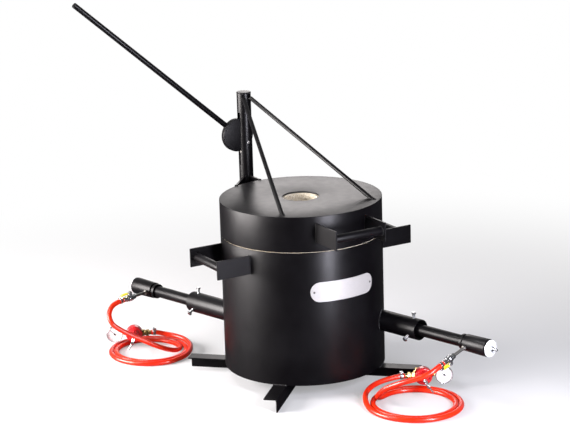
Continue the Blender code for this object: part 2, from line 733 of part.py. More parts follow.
def make_valve(burner):
    """The ball valve between jet pipe and hose, and its lever on the stem."""
    name = burner.side + "_"
    stem_way = Vector((0, 0, 1)) * VALVE_STEM_SIDE[burner.side]
    along = aim(burner.jet_root, burner.jet, stem_way)
    nut_end = VALVE_START + VALVE_NUT
    body_end = nut_end + VALVE_BODY
    outline = [(0, VALVE_START), (VALVE_NUT_RADIUS, VALVE_START), (VALVE_NUT_RADIUS, nut_end),
               (VALVE_BODY_RADIUS, nut_end), (VALVE_BODY_RADIUS, body_end),
               (VALVE_TAIL_RADIUS, body_end), (VALVE_TAIL_RADIUS, HOSE_START - GAP),
               (0, HOSE_START - GAP)]
    body = finish(name + "valve_body", turned(outline, SMALL_SIDES), zinc(), along)
    stem_root = burner.jet_root + burner.jet * STEM_STATION
    up = stem_way - burner.jet * stem_way.dot(burner.jet)
    stem = aim(stem_root, up, burner.jet)
    seat = STEM_HEIGHT + GAP + VALVE_LEVER_THICKNESS + GAP
    outline = [(0, 0), (STEM_RADIUS, 0), (STEM_RADIUS, STEM_HEIGHT), (STEM_PIN_RADIUS, STEM_HEIGHT),
               (STEM_PIN_RADIUS, seat), (STEM_NUT_RADIUS, seat), (STEM_NUT_RADIUS, seat + STEM_NUT),
               (0, seat + STEM_NUT)]
    weld(body, turned(outline, SMALL_SIDES), stem)
    half = VALVE_LEVER_WIDTH / 2
    low = STEM_HEIGHT + GAP
    lever = finish(name + "valve_lever",
                   block((-half, -half, low), (VALVE_LEVER_LENGTH, half, low + VALVE_LEVER_THICKNESS)),
                   yellow_vinyl(), stem, stem_root)
    cut(lever, rod(STEM_PIN_RADIUS + GAP, 0, seat + STEM_NUT, SMALL_SIDES), stem)


def regulator_frame(side):
    """Where a regulator lies: its centre, and its outlet and screw directions."""
    x, y = REGULATOR_PLACE[side]
    centre = Vector((x, y, FLOOR + REGULATOR_HEIGHT))
    return centre, heading(REGULATOR_OUTLET_DIRECTION[side]), heading(REGULATOR_SCREW_DIRECTION[side])


def make_regulator(side):
    """The regulator's body with its fittings, and its screw with the cross bar."""
    centre, outlet, screw_way = regulator_frame(side)
    place = aim(centre, screw_way, outlet)
    front = REGULATOR_DEPTH - REGULATOR_BACK
    tip = front + BONNET_LENGTH
    outline = [(0, -REGULATOR_BACK), (REGULATOR_RADIUS, -REGULATOR_BACK),
               (REGULATOR_RADIUS, front), (BONNET_RADIUS, front),
               (BONNET_TIP_RADIUS, tip), (0, tip)]
    body = finish(side + "_regulator_body", turned(outline, TUBE_SIDES), red_enamel(), place)
    outward = aim(centre, outlet, screw_way)
    outline = [(0, 0), (OUTLET_NUT_RADIUS, 0), (OUTLET_NUT_RADIUS, OUTLET_NUT_END),
               (OUTLET_TAIL_RADIUS, OUTLET_NUT_END), (OUTLET_TAIL_RADIUS, OUTLET_END - GAP),
               (0, OUTLET_END - GAP)]
    weld(body, turned(outline, SMALL_SIDES), outward)
    stem_end = GAUGE_DISTANCE - GAUGE_RADIUS - GAP
    weld(body, rod(GAUGE_STEM_RADIUS, 0, stem_end, SMALL_SIDES), aim(centre, -outlet, screw_way))
    inlet = centre + outlet * INLET_OFFSET[side] + Vector((0, 0, INLET_RISE))
    inlet_end = REGULATOR_BACK + INLET_LENGTH
    weld(body, rod(INLET_NUT_RADIUS, 0, inlet_end, SMALL_SIDES), aim(inlet, -screw_way, outlet))
    bore_start = T_SCREW_REACH - T_SCREW_DEPTH - BONNET_LENGTH
    cut(body, rod(T_SCREW_RADIUS + GAP, bore_start - GAP, tip + OVERRUN, SMALL_SIDES), place)
    screw = finish(side + "_regulator_screw",
                   rod(T_SCREW_RADIUS, bore_start, T_SCREW_REACH + T_BAR_RADIUS * 2, SMALL_SIDES),
                   zinc(), place, centre)
    level = Vector((0, 0, 1)).cross(screw_way)
    tilt = radians(T_BAR_TILT[side])
    bar_way = -level * cos(tilt) + Vector((0, 0, 1)) * sin(tilt)
    half = T_BAR_LENGTH / 2
    weld(screw, rod(T_BAR_RADIUS, -half, half, SMALL_SIDES - 4),
         aim(centre + screw_way * T_SCREW_REACH, bar_way))


def make_gauge(side):
    """The pressure gauge's case, open to the dial, and its needle on the dial's axis."""
    centre, outlet, screw_way = regulator_frame(side)
    middle = centre - outlet * GAUGE_DISTANCE
    place = aim(middle, screw_way, Vector((0, 0, 1)))
    back = -GAUGE_BACKSET
    front = back + GAUGE_DEPTH
    dial = front - GAUGE_RECESS
    rim = GAUGE_RADIUS - GAUGE_RIM
    outline = [(0, back), (GAUGE_RADIUS, back), (GAUGE_RADIUS, front), (rim, front), (rim, dial),
               (0, dial)]
    finish(side + "_gauge_case", turned(outline, TUBE_SIDES), bare_steel(), place)
    turn = radians(NEEDLE_REST)
    needle_place = place @ Matrix.Rotation(turn, 4, "Z")
    low = dial + GAP
    needle = finish(side + "_gauge_needle", rod(NEEDLE_HUB_RADIUS, low, low + NEEDLE_HUB, SMALL_SIDES),
                    dial_black(), needle_place, middle)
    half = NEEDLE_WIDTH / 2
    thick = NEEDLE_THICKNESS
    weld(needle, block((-NEEDLE_TAIL, -half, low + thick), (NEEDLE_LENGTH, half, low + thick * 2)),
         needle_place)


def spiral_points(shape):
    """Points along a flat spiral on the floor, growing one pitch a turn."""
    x, y = shape["centre"]
    count = int(abs(shape["turn"]) / SPIRAL_STEP)
    points = []
    for k in range(count + 1):
        swept = shape["turn"] * k / count
        angle = radians(shape["start"] + swept)
        radius = shape["radius"] + SPIRAL_PITCH * abs(swept) / 360
        points.append(Vector((x + radius * cos(angle), y + (radius + SPIRAL_STRETCH) * sin(angle),
                              FLOOR + HOSE_REST)))
    return points


def smooth(points, first_ring, last_ring):
    """A smooth curve through all points, with a straight run at each end.

    The spiral's own points are close enough as they are.
    """
    chain = [points[0] * 2 - points[1], *points, points[-1] * 2 - points[-2]]
    curve = []
    ring_at = 0
    for k in range(len(points) - 1):
        if k == first_ring:
            ring_at = len(curve)
        a, b, c, d = chain[k:k + 4]
        straight = k in (0, len(points) - 2)
        steps = 1 if straight or first_ring <= k < last_ring else CURVE_STEPS
        for step in range(steps):
            t = step / steps
            curve.append((b * 2 + (c - a) * t + (a * 2 - b * 5 + c * 4 - d) * t * t
                          + (b * 3 - a - c * 3 + d) * t ** 3) / 2)
    curve.append(points[-1])
    return curve, ring_at


def least_gap(curve):
    """The least clearance between strands of a hose that lie side by side."""
    run = [0]
    for a, b in zip(curve, curve[1:]):
        run.append(run[-1] + (b - a).length)
    apart = HOSE_RADIUS * 8
    least = min((curve[i] - curve[j]).length for i in range(len(curve)) for j in range(i)
                if run[i] - run[j] > apart)
    return least - HOSE_RADIUS * 2, run[-1]


def hose_tube(name, points):
    """One stretch of hose as a capped tube."""
    curve = bpy.data.curves.new(name, "CURVE")
    curve.dimensions = "3D"
    curve.bevel_depth = HOSE_RADIUS
    curve.bevel_resolution = 2
    curve.use_fill_caps = True
    spline = curve.splines.new("POLY")
    spline.points.add(len(points) - 1)
    for vertex, point in zip(spline.points, points):
        vertex.co = (*point, 1)
    curve.materials.append(orange_hose())
    made = bpy.data.objects.new(name, curve)
    bpy.context.scene.collection.objects.link(made)
    return made


def make_hose(burner, drop, shape, lead):
    """A hose from the valve down to its loops on the floor and on to the regulator."""
    centre, outlet, _ = regulator_frame(burner.side)
    start = burner.jet_root + burner.jet * HOSE_START
    end = centre + outlet * OUTLET_END
    raise_by = Vector((0, 0, FLOOR))
    points = [start, start + burner.jet * HOSE_STRAIGHT]
    points += [Vector(point) + raise_by for point in drop]
    first_ring = len(points)
    points += spiral_points(shape)
    last_ring = len(points) - 1
    points += [Vector(point) + raise_by for point in lead]
    points += [end + outlet * HOSE_STRAIGHT, end]
    curve, ring_at = smooth(points, first_ring, last_ring)
    gap, length = least_gap(curve)
    print(burner.side, "hose: length %.3f m, least gap to itself %.2f mm" % (length, gap * 1000))
    # Where the two stretches meet, both run straight and square to the joint.
    meet = curve[ring_at]
    ahead = (curve[ring_at + 1] - curve[ring_at - 1]).normalized()
    before = [meet - ahead * HOSE_SQUARE_END, meet]
    after = [meet + ahead * GAP, meet + ahead * HOSE_SQUARE_END]
    hose_tube(burner.side + "_hose_drop", curve[:ring_at] + before)
    hose_tube(burner.side + "_hose_coil", after + curve[ring_at + 1:])


def main():
    clear_scene()
    right = Burner("right")
    left = Burner("left")
    make_drum((right, left))
    make_legs()
    handle("left_handle", 180, DRUM_HEIGHT - BODY_HANDLE_DROP - HANDLE_HEIGHT)
    handle("right_handle", 0, DRUM_HEIGHT - BODY_HANDLE_DROP - HANDLE_HEIGHT)
    make_name_plate()
    make_lid()
    handle("lid_handle", -90, LID_TOP - LID_HANDLE_DROP - HANDLE_HEIGHT)
    make_post()
    make_mast()
    make_mast_plates()
    make_stays()
    make_lever()
    for burner in (right, left):
        make_holder(burner)
        make_burner(burner)
        make_choke(burner)
        make_valve(burner)
        make_regulator(burner.side)
        make_gauge(burner.side)
    make_hose(right, RIGHT_DROP, RIGHT_SPIRAL, RIGHT_LEAD)
    make_hose(left, LEFT_DROP, LEFT_SPIRAL, LEFT_LEAD)


main()
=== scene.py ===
"""Looks of a gas forge, built round its fixed CAD frame.

Metres, +Z up. The front, with the name plate, faces -Y; the lid's post stands at +Y and
the lever points to -X. Each section makes one piece, or one group of like pieces.
"""

import json
from math import cos, radians, sin, sqrt, tau

import bmesh
import bpy
from mathutils import Matrix, Vector, noise

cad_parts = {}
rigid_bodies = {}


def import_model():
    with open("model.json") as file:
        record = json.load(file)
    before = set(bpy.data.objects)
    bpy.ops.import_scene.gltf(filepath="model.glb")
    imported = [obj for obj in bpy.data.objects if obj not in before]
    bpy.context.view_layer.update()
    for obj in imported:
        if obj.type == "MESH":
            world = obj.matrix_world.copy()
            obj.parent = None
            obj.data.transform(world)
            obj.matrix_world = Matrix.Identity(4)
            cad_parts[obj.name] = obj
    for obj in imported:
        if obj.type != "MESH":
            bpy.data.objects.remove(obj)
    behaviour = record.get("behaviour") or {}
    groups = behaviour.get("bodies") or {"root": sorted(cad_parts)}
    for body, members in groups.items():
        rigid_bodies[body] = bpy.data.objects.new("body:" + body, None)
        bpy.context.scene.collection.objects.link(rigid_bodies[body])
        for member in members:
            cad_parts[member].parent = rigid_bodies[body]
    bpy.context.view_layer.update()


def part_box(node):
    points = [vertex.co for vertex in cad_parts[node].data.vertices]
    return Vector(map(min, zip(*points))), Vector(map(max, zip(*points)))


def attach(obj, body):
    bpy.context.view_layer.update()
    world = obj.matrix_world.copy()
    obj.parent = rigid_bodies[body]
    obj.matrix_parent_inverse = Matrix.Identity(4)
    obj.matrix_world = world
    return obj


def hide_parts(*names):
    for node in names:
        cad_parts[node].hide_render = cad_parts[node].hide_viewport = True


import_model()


def linked(name, data):
    """A new object in the scene."""
    made = bpy.data.objects.new(name, data)
    bpy.context.scene.collection.objects.link(made)
    return made


def final_mesh(made):
    """A new mesh of an object as its modifiers leave it."""
    bpy.context.view_layer.update()
    graph = bpy.context.evaluated_depsgraph_get()
    return bpy.data.meshes.new_from_object(made.evaluated_get(graph))


# Camera
# A long lens a little above the lid, turned to the forge's front and left.
CAMERA_PLACE = (-3.01445, -5.12865, 2.06215)
CAMERA_FORWARD = (0.48247, 0.83566, -0.26247)
CAMERA_UP = (0.15804, 0.21169, 0.96448)
FOCAL_PIXELS = 2131.36
FRAME_WIDTH_PIXELS = 570
SENSOR = 36

lens = bpy.data.cameras.new("camera")
lens.sensor_width = SENSOR
lens.lens = SENSOR * FOCAL_PIXELS / FRAME_WIDTH_PIXELS
camera = linked("camera", lens)
ahead = Vector(CAMERA_FORWARD).normalized()
camera_right = ahead.cross(Vector(CAMERA_UP)).normalized()
camera_turn = Matrix((camera_right, camera_right.cross(ahead), -ahead)).transposed().to_4x4()
camera.matrix_world = Matrix.Translation(CAMERA_PLACE) @ camera_turn
bpy.context.scene.camera = camera

# Hoses
# Two gas hoses of smooth orange rubber. Each leaves its valve, drops to two loose loops
# on the floor, and rises onto its regulator, which lies on the loops.
FLOOR = -0.040
BURNER_DIRECTION = -75
BURNER_OFFSET = 0.113
BURNER_LEVEL = 0.135
JET_STATION = 0.537
JET_DROOP = {"right": 14, "left": 2}
HOSE_START = 0.120
HOSE_STRAIGHT = 0.015
HOSE_RADIUS = 0.0075
HOSE_REST = 0.0078
HOSE_SIDES = 28
SPIRAL_PITCH = 0.0158
SPIRAL_STRETCH = 0.006
SPIRAL_STEP = 12
REGULATOR_HEIGHT = 0.0425
OUTLET_END = 0.053
LOOPS = {
    "right": {"centre": (0.105, -0.426), "radius": 0.104, "start": 114, "turn": -672},
    "left": {"centre": (-0.298, 0.424), "radius": 0.094, "start": -2, "turn": 636},
}
DROPS = {
    "right": [
        (0.090, -0.524, 0.1285), (0.058, -0.507, 0.1145), (0.030, -0.473, 0.098),
        (0.010, -0.426, 0.073), (0.006, -0.394, 0.048), (0.0188, -0.3645, 0.028),
        (0.038, -0.3417, 0.0145),
    ],
    "left": [
        (-0.406, 0.447, 0.163), (-0.426, 0.430, 0.145), (-0.426, 0.413, 0.121),
        (-0.405, 0.405, 0.100), (-0.374, 0.396, 0.079), (-0.342, 0.387, 0.060),
        (-0.309, 0.374, 0.041), (-0.274, 0.363, 0.0245), (-0.241, 0.3655, 0.0135),
        (-0.212, 0.3907, 0.0085),
    ],
}
LEADS = {
    "right": [
        (-0.0116, -0.350, 0.0135), (0.0112, -0.3135, 0.022), (0.047, -0.291, 0.031),
        (0.090, -0.287, 0.038),
    ],
    "left": [
        (-0.240, 0.3097, 0.0105), (-0.2085, 0.3335, 0.0165), (-0.1897, 0.3685, 0.0225),
        (-0.1881, 0.4077, 0.0270), (-0.2015, 0.442, 0.0305), (-0.2247, 0.4658, 0.035),
    ],
}


def heading(turn, dip=0.0):
    """A unit vector at a compass angle from +X, dipping below the level."""
    turn = radians(turn)
    dip = radians(dip)
    return Vector((cos(turn) * cos(dip), sin(turn) * cos(dip), -sin(dip)))


def aim(origin, forward, side=None):
    """A matrix with its Z along forward and its X as near as can be to side."""
    z = Vector(forward).normalized()
    x = Vector(side) if side is not None else z.orthogonal()
    x = (x - z * x.dot(z)).normalized()
    turn = Matrix((x, z.cross(x), z)).transposed().to_4x4()
    return Matrix.Translation(Vector(origin)) @ turn


class Burner:
    """A burner's level axis, its crossing jet pipe, and its regulator on the floor."""

    def __init__(self, side, place, outlet, screw):
        sign = 1 if side == "right" else -1
        self.side = side
        self.axis = heading(BURNER_DIRECTION) * sign
        across = heading(BURNER_DIRECTION + 90)
        self.root = across * BURNER_OFFSET * sign + Vector((0, 0, BURNER_LEVEL))
        self.line = aim(self.root, self.axis, across)
        droop = radians(JET_DROOP[side])
        self.jet = -across * cos(droop) - Vector((0, 0, 1)) * sin(droop)
        self.jet_root = self.at(JET_STATION)
        self.regulator = Vector((*place, FLOOR + REGULATOR_HEIGHT))
        self.outlet = heading(outlet)
        self.screw = heading(screw)

    def at(self, distance):
        return self.root + self.axis * distance

    def named(self, piece):
        return self.side + "_" + piece


burners = [Burner("right", (0.200, -0.323), 155, -115), Burner("left", (-0.308, 0.508), -30, -120)]


def hose_points(burner):
    """The hose's own line, close enough together to be smooth."""
    start = burner.jet_root + burner.jet * HOSE_START
    end = burner.regulator + burner.outlet * OUTLET_END
    lift = Vector((0, 0, FLOOR))
    points = [start, start + burner.jet * HOSE_STRAIGHT]
    points += [Vector(point) + lift for point in DROPS[burner.side]]
    loop = LOOPS[burner.side]
    x, y = loop["centre"]
    count = int(abs(loop["turn"]) / SPIRAL_STEP)
    for k in range(count + 1):
        swept = loop["turn"] * k / count
        angle = radians(loop["start"] + swept)
        radius = loop["radius"] + SPIRAL_PITCH * abs(swept) / 360
        points.append(Vector((x + radius * cos(angle), y + (radius + SPIRAL_STRETCH) * sin(angle),
                              FLOOR + HOSE_REST)))
    points += [Vector(point) + lift for point in LEADS[burner.side]]
    points += [end + burner.outlet * HOSE_STRAIGHT, end]
    chain = [points[0] * 2 - points[1], *points, points[-1] * 2 - points[-2]]
    line = []
    for k in range(len(points) - 1):
        a, b, c, d = chain[k:k + 4]
        steps = 2 if k in (0, len(points) - 2) else 5
        for step in range(steps):
            t = step / steps
            bend = (a * 2 - b * 5 + c * 4 - d) * t * t + (b * 3 - a - c * 3 + d) * t ** 3
            line.append(b + (c - b) * t if steps == 2 else (b * 2 + (c - a) * t + bend) / 2)
    line.append(points[-1])
    for point in line:
        point.z = max(point.z, FLOOR + HOSE_REST)
    return line


def tube(points, radius, sides):
    """A closed round tube along points; its UV map runs in metres along and once round."""
    build = bmesh.new()
    run_map = build.loops.layers.uv.new("run")
    rings = []
    travelled = [0.0]
    last = len(points) - 1
    side = (points[1] - points[0]).orthogonal()
    for k, point in enumerate(points):
        way = (points[min(k + 1, last)] - points[max(k - 1, 0)]).normalized()
        side = (side - way * side.dot(way)).normalized()
        over = way.cross(side)
        turns = [tau * s / sides for s in range(sides)]
        rings.append([build.verts.new(point + (side * cos(a) + over * sin(a)) * radius)
                      for a in turns])
        if k:
            travelled.append(travelled[-1] + (point - points[k - 1]).length)
    for k in range(last):
        for s in range(sides):
            after = (s + 1) % sides
            face = build.faces.new([rings[k][s], rings[k][after], rings[k + 1][after],
                                    rings[k + 1][s]])
            corners = [(k, s), (k, s + 1), (k + 1, s + 1), (k + 1, s)]
            for loop, (along, round_it) in zip(face.loops, corners):
                loop[run_map].uv = (travelled[along], round_it / sides)
    build.faces.new(rings[0])
    build.faces.new(rings[-1])
    return build, travelled[-1]


class Flow:
    """One socket of a node tree. A sum on it adds Math nodes; node() adds any other node."""

    def __init__(self, tree, socket=None):
        self.tree = tree
        self.socket = socket

    def node(self, kind, settings=None, values=None, output=0):
        made = self.tree.nodes.new(kind)
        for name, value in (settings or {}).items():
            setattr(made, name, value)
        for key, value in (values or {}).items():
            if isinstance(value, Flow):
                self.tree.links.new(value.socket, made.inputs[key])
            else:
                made.inputs[key].default_value = value
        return Flow(self.tree, made.outputs[output])

    def maths(self, operation, first, second):
        return self.node("ShaderNodeMath", {"operation": operation}, {0: first, 1: second})

    def __add__(self, other):
        return self.maths("ADD", self, other)

    def __radd__(self, other):
        return self.maths("ADD", other, self)

    def __sub__(self, other):
        return self.maths("SUBTRACT", self, other)

    def __rsub__(self, other):
        return self.maths("SUBTRACT", other, self)

    def __mul__(self, other):
        return self.maths("MULTIPLY", self, other)

    def __rmul__(self, other):
        return self.maths("MULTIPLY", other, self)

    def __truediv__(self, other):
        return self.maths("DIVIDE", self, other)

    def rise(self, low, high):
        """0 up to low, 1 from high on, and smooth between."""
        return self.node("ShaderNodeMapRange", {"interpolation_type": "SMOOTHSTEP"},
                         {0: self, 1: low, 2: high})

    def tint(self, low, high):
        """A mix of two colours, from low at 0 to high at 1."""
        ends = [end if isinstance(end, Flow) else (*end, 1) for end in (low, high)]
        return self.node("ShaderNodeMix", {"data_type": "RGBA"}, {0: self, 6: ends[0], 7: ends[1]},
                         2)

    def noise(self, scale, detail=2.0, stretch=None):
        """Noise on these coordinates, stretched where the finish has a direction."""
        spread = self
        if stretch is not None:
            spread = self.node("ShaderNodeVectorMath", {"operation": "MULTIPLY"},
                               {0: self, 1: stretch})
        return spread.node("ShaderNodeTexNoise", {},
                           {"Vector": spread, "Scale": scale, "Detail": detail})

    def feed(self, shader, socket):
        self.tree.links.new(self.socket, shader.inputs[socket])

    def bump(self, shader, distance, strength=1.0):
        """Use this height as the surface's fine relief."""
        made = self.node("ShaderNodeBump", {},
                         {"Strength": strength, "Distance": distance, "Height": self})
        made.feed(shader, "Normal")


def finish_named(name, **sockets):
    """A new Principled material, its shader, and a Flow on the piece's own coordinates."""
    made = bpy.data.materials.new(name)
    made.use_nodes = True
    shader = made.node_tree.nodes["Principled BSDF"]
    for key, value in sockets.items():
        shader.inputs[key.replace("_", " ")].default_value = value
    own = Flow(made.node_tree).node("ShaderNodeTexCoord", output=3)
    return made, shader, own


hose_rubber, shader, own = finish_named("orange hose rubber", Coat_Weight=0.22, Coat_Roughness=0.10)
run = own.node("ShaderNodeUVMap", {"uv_map": "run"})
cloud = own.noise(18, 3)
streaks = run.noise(1, 3, (26, 16, 0))
scuffs = run.noise(1, 4, (160, 9, 0)).rise(0.60, 0.72)
body_tint = cloud.rise(0.35, 0.65).tint((0.60, 0.012, 0.001), (0.72, 0.024, 0.002))
body_tint = (scuffs * 0.16).tint(body_tint, (0.80, 0.13, 0.04))
body_tint.feed(shader, "Base Color")
(0.24 + streaks * 0.12 + scuffs * 0.14).feed(shader, "Roughness")
(streaks * 0.6 + own.noise(420, 2) * 0.4).bump(shader, 0.00035, 0.5)


def settle(made):
    """Make the modifiers' result the object's own mesh."""
    solid = final_mesh(made)
    made.modifiers.clear()
    made.data = solid


def piece(name, build, body, slot, skin, nodes=(), place=None, edge=0.0, sharp=38):
    """Finish a bmesh as a named piece that rides on a body and stands for its CAD nodes."""
    if place is not None:
        build.transform(place)
    bmesh.ops.recalc_face_normals(build, faces=build.faces)
    mesh = bpy.data.meshes.new(name)
    build.to_mesh(mesh)
    build.free()
    mesh.materials.append(skin)
    mesh.shade_smooth()
    mesh.set_sharp_from_angle(angle=radians(sharp))
    made = linked(name, mesh)
    if edge:
        rounding = made.modifiers.new("rounded edges", "BEVEL")
        rounding.width = edge
        rounding.segments = 2
        rounding.limit_method = "ANGLE"
        rounding.angle_limit = radians(sharp)
        rounding.harden_normals = True
        settle(made)
    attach(made, body)
    if nodes:
        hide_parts(*nodes)
    return made


hoses = []
for burner in burners:
    line = hose_points(burner)
    build, length = tube(line, HOSE_RADIUS, HOSE_SIDES)
    hose = piece(burner.named("hose"), build, "root", "orange_hose", hose_rubber,
                 [burner.named("hose_drop"), burner.named("hose_coil")])
    hoses.append((burner, hose, line, length))

# Drum
# A length of rolled steel pipe over a disc of plate, painted satin black. The lining
# stands a little proud of its rim.
DRUM_RADIUS = 0.235
DRUM_HEIGHT = 0.392
SHELL_WALL = 0.004
BASE_PLATE = 0.006
LINING_GAP = 0.0003
DRUM_SIDES = 192
PLATE_EDGE = 0.0008

black_paint, shader, own = finish_named("satin black paint", Specular_IOR_Level=0.27)
cloud = own.noise(7, 4)
film = own.noise(48, 4)
peel = own.noise(640, 2)
dust = own.noise(2600, 1).rise(0.70, 0.80)
shade = cloud.rise(0.36, 0.64).tint((0.0017, 0.0013, 0.0020), (0.0038, 0.0034, 0.0043))
(dust * 0.25).tint(shade, (0.045, 0.043, 0.042)).feed(shader, "Base Color")
(0.275 + film * 0.11 + cloud * 0.05).feed(shader, "Roughness")
(peel * 0.7 + film * 0.3).bump(shader, 0.00022, 0.45)


def soften(outline, radius, steps=3):
    """A closed outline of (radius, height) pairs with each corner off the axis rounded."""
    rounded = []
    for k, corner in enumerate(outline):
        if corner[0] == 0:
            rounded.append(corner)
            continue
        here = Vector(corner)
        before = Vector(outline[k - 1]) - here
        after = Vector(outline[(k + 1) % len(outline)]) - here
        reach = min(radius, before.length * 0.45, after.length * 0.45)
        start = here + before.normalized() * reach
        end = here + after.normalized() * reach
        for step in range(steps + 1):
            t = step / steps
            rounded.append(tuple(start * (1 - t) ** 2 + here * 2 * t * (1 - t) + end * t * t))
    return rounded


def turned(outline, sides):
    """A solid of revolution about Z from a closed outline of (radius, height) pairs."""
    build = bmesh.new()
    rings = []
    for radius, height in outline:
        if radius == 0:
            rings.append([build.verts.new((0, 0, height))])
            continue
        turns = [tau * k / sides for k in range(sides)]
        rings.append([build.verts.new((radius * cos(a), radius * sin(a), height)) for a in turns])
    for first, second in zip(rings, rings[1:] + rings[:1]):
        if len(first) == 1 and len(second) == 1:
            continue
        for k in range(sides):
            after = (k + 1) % sides
            corners = [first[k % len(first)], first[after % len(first)],
                       second[after % len(second)], second[k % len(second)]]
            build.faces.new(list(dict.fromkeys(corners)))
    return build


def pipe(outer, inner, start, end, edge, sides):
    """A round pipe along Z with rounded rims."""
    return turned(soften([(outer, start), (outer, end), (inner, end), (inner, start)], edge), sides)


def bar(radius, start, end, edge, sides):
    """A round bar along Z with rounded rims."""
    return turned(soften([(0, start), (radius, start), (radius, end), (0, end)], edge), sides)


def painted(name, build, body, nodes=(), place=None, edge=0.0, sharp=38):
    """A piece in the satin black paint."""
    return piece(name, build, body, "black_paint", black_paint, nodes, place, edge, sharp)


inner = DRUM_RADIUS - SHELL_WALL
painted("drum", pipe(DRUM_RADIUS, inner, 0, DRUM_HEIGHT, PLATE_EDGE, DRUM_SIDES), "root",
        ["drum_shell"])
painted("drum_base", bar(inner - LINING_GAP, 0, BASE_PLATE, PLATE_EDGE, DRUM_SIDES), "root",
        ["base_plate"])

# Drum lining
# Cast refractory, rammed round a former: a floor and a wall, with a slanting port for each
# burner. Its faces are rough and pitted, and speckled by the grit in the mix.
WALL_LINING = 0.0647
FLOOR_LINING = 0.054
LINING_PROUD = 0.001
PORT_RADIUS = 0.01715
LINING_ROUGHNESS = 0.0007
LINING_EDGE = 0.0025

refractory, shader, own = finish_named("cast refractory")
cloud = own.noise(11, 5)
grit = own.noise(430, 3)
shaded_pits = own.noise(180, 2).rise(0.63, 0.70)
flecks = own.noise(620, 1).rise(0.66, 0.70)
shade = cloud.rise(0.34, 0.66).tint((0.60, 0.51, 0.37), (0.80, 0.73, 0.59))
shade = grit.rise(0.42, 0.62).tint(shade, (0.86, 0.81, 0.69))
shade = (flecks * 0.75).tint(shade, (0.17, 0.125, 0.085))
# The pits are real hollows in the relief; their darker colour is painted shade in those hollows.
(shaded_pits * 0.6).tint(shade, (0.27, 0.21, 0.14)).feed(shader, "Base Color")
(0.86 + grit * 0.12).feed(shader, "Roughness")
(grit * 0.5 + cloud * 0.3 - shaded_pits * 0.8).bump(shader, 0.0016, 0.9)


def carved(build, *tools):
    """Cut closed shapes out of a closed shape."""
    solids = []
    for shape in (build, *tools):
        bmesh.ops.recalc_face_normals(shape, faces=shape.faces)
        mesh = bpy.data.meshes.new("blank")
        shape.to_mesh(mesh)
        shape.free()
        solids.append(linked("blank", mesh))
    for tool in solids[1:]:
        cut = solids[0].modifiers.new("cut", "BOOLEAN")
        cut.operation = "DIFFERENCE"
        cut.solver = "EXACT"
        cut.object = tool
    bpy.context.view_layer.update()
    result = bmesh.new()
    result.from_object(solids[0], bpy.context.evaluated_depsgraph_get())
    for solid in solids:
        bpy.data.objects.remove(solid, do_unlink=True)
    return result


def moved(build, place):
    build.transform(place)
    return build


lining_outer = inner - LINING_GAP
chamber = lining_outer - WALL_LINING
floor_top = BASE_PLATE + LINING_GAP + FLOOR_LINING
wall_top = DRUM_HEIGHT + LINING_PROUD
wall_blank = pipe(lining_outer, chamber, floor_top + LINING_GAP, wall_top, LINING_EDGE, 120)
ports = [moved(bar(PORT_RADIUS, 0, DRUM_RADIUS, 0, 48), burner.line) for burner in burners]
lined_wall = carved(wall_blank, *ports)
bmesh.ops.triangulate(lined_wall, faces=[f for f in lined_wall.faces if len(f.verts) > 4])
piece("drum_wall_lining", lined_wall, "root", "refractory", refractory, ["wall_lining"])
floor_blank = bar(lining_outer, BASE_PLATE + LINING_GAP, floor_top, LINING_EDGE, 120)
piece("drum_floor_lining", floor_blank, "root", "refractory", refractory, ["floor_lining"])

# Welds
# Hand-laid beads where plates, pipes and bars meet the drum, the lid and the mast. Each
# is a row of overlapping ripples along the joint, painted over with the rest.
BEAD_WIDTH = 0.0042
BEAD_PITCH = 0.0019


def geometry_tree(name, inputs):
    """A node group for a modifier, with a named input for each size."""
    group = bpy.data.node_groups.new(name, "GeometryNodeTree")
    group.interface.new_socket("Geometry", in_out="INPUT", socket_type="NodeSocketGeometry")
    for label, kind in inputs.items():
        group.interface.new_socket(label, in_out="INPUT", socket_type="NodeSocket" + kind)
    group.interface.new_socket("Geometry", in_out="OUTPUT", socket_type="NodeSocketGeometry")
    start = group.nodes.new("NodeGroupInput")
    return group, {s.name: Flow(group, s) for s in start.outputs if s.name}


def close_tree(group, shape, skin):
    """Make the copies real, give them their material and pass them out."""
    whole = shape.node("GeometryNodeRealizeInstances", {}, {0: shape})
    dressed = whole.node("GeometryNodeSetMaterial", {}, {"Geometry": whole, "Material": skin})
    out = group.nodes.new("NodeGroupOutput")
    group.links.new(dressed.socket, out.inputs[0])


def grown(name, base, group, sizes):
    """Run a node group on an object, and give its result as a bmesh; the object goes."""
    grower = base.modifiers.new(name, "NODES")
    grower.node_group = group
    places = {item.name: item.identifier for item in group.interface.items_tree
              if item.in_out == "INPUT"}
    for label, value in sizes.items():
        grower[places[label]] = value
    result = bmesh.new()
    result.from_mesh(final_mesh(base))
    bpy.data.objects.remove(base, do_unlink=True)
    return result


weld_tree, given = geometry_tree("weld beads", {"Width": "Float", "Pitch": "Float",
                                                "Skin": "Material"})
ripples = given["Geometry"].node("GeometryNodeCurveToPoints", {"mode": "LENGTH"},
                                 {0: given["Geometry"], "Length": given["Pitch"]})
rotation = Flow(weld_tree, ripples.socket.node.outputs["Rotation"])
grain = given["Width"].node("GeometryNodeMeshIcoSphere", {},
                            {"Radius": given["Width"] * 0.5, "Subdivisions": 2})
sway = given["Width"].node("FunctionNodeRandomValue", {"data_type": "FLOAT"},
                           {2: 0.86, 3: 1.12, "Seed": 7}, 1)
sway_size = given["Width"].node("ShaderNodeCombineXYZ", {}, {0: sway, 1: sway, 2: 0.62})
laid = ripples.node("GeometryNodeInstanceOnPoints", {},
                    {"Points": ripples, "Instance": grain, "Rotation": rotation,
                     "Scale": sway_size})
close_tree(weld_tree, laid, given["Skin"])

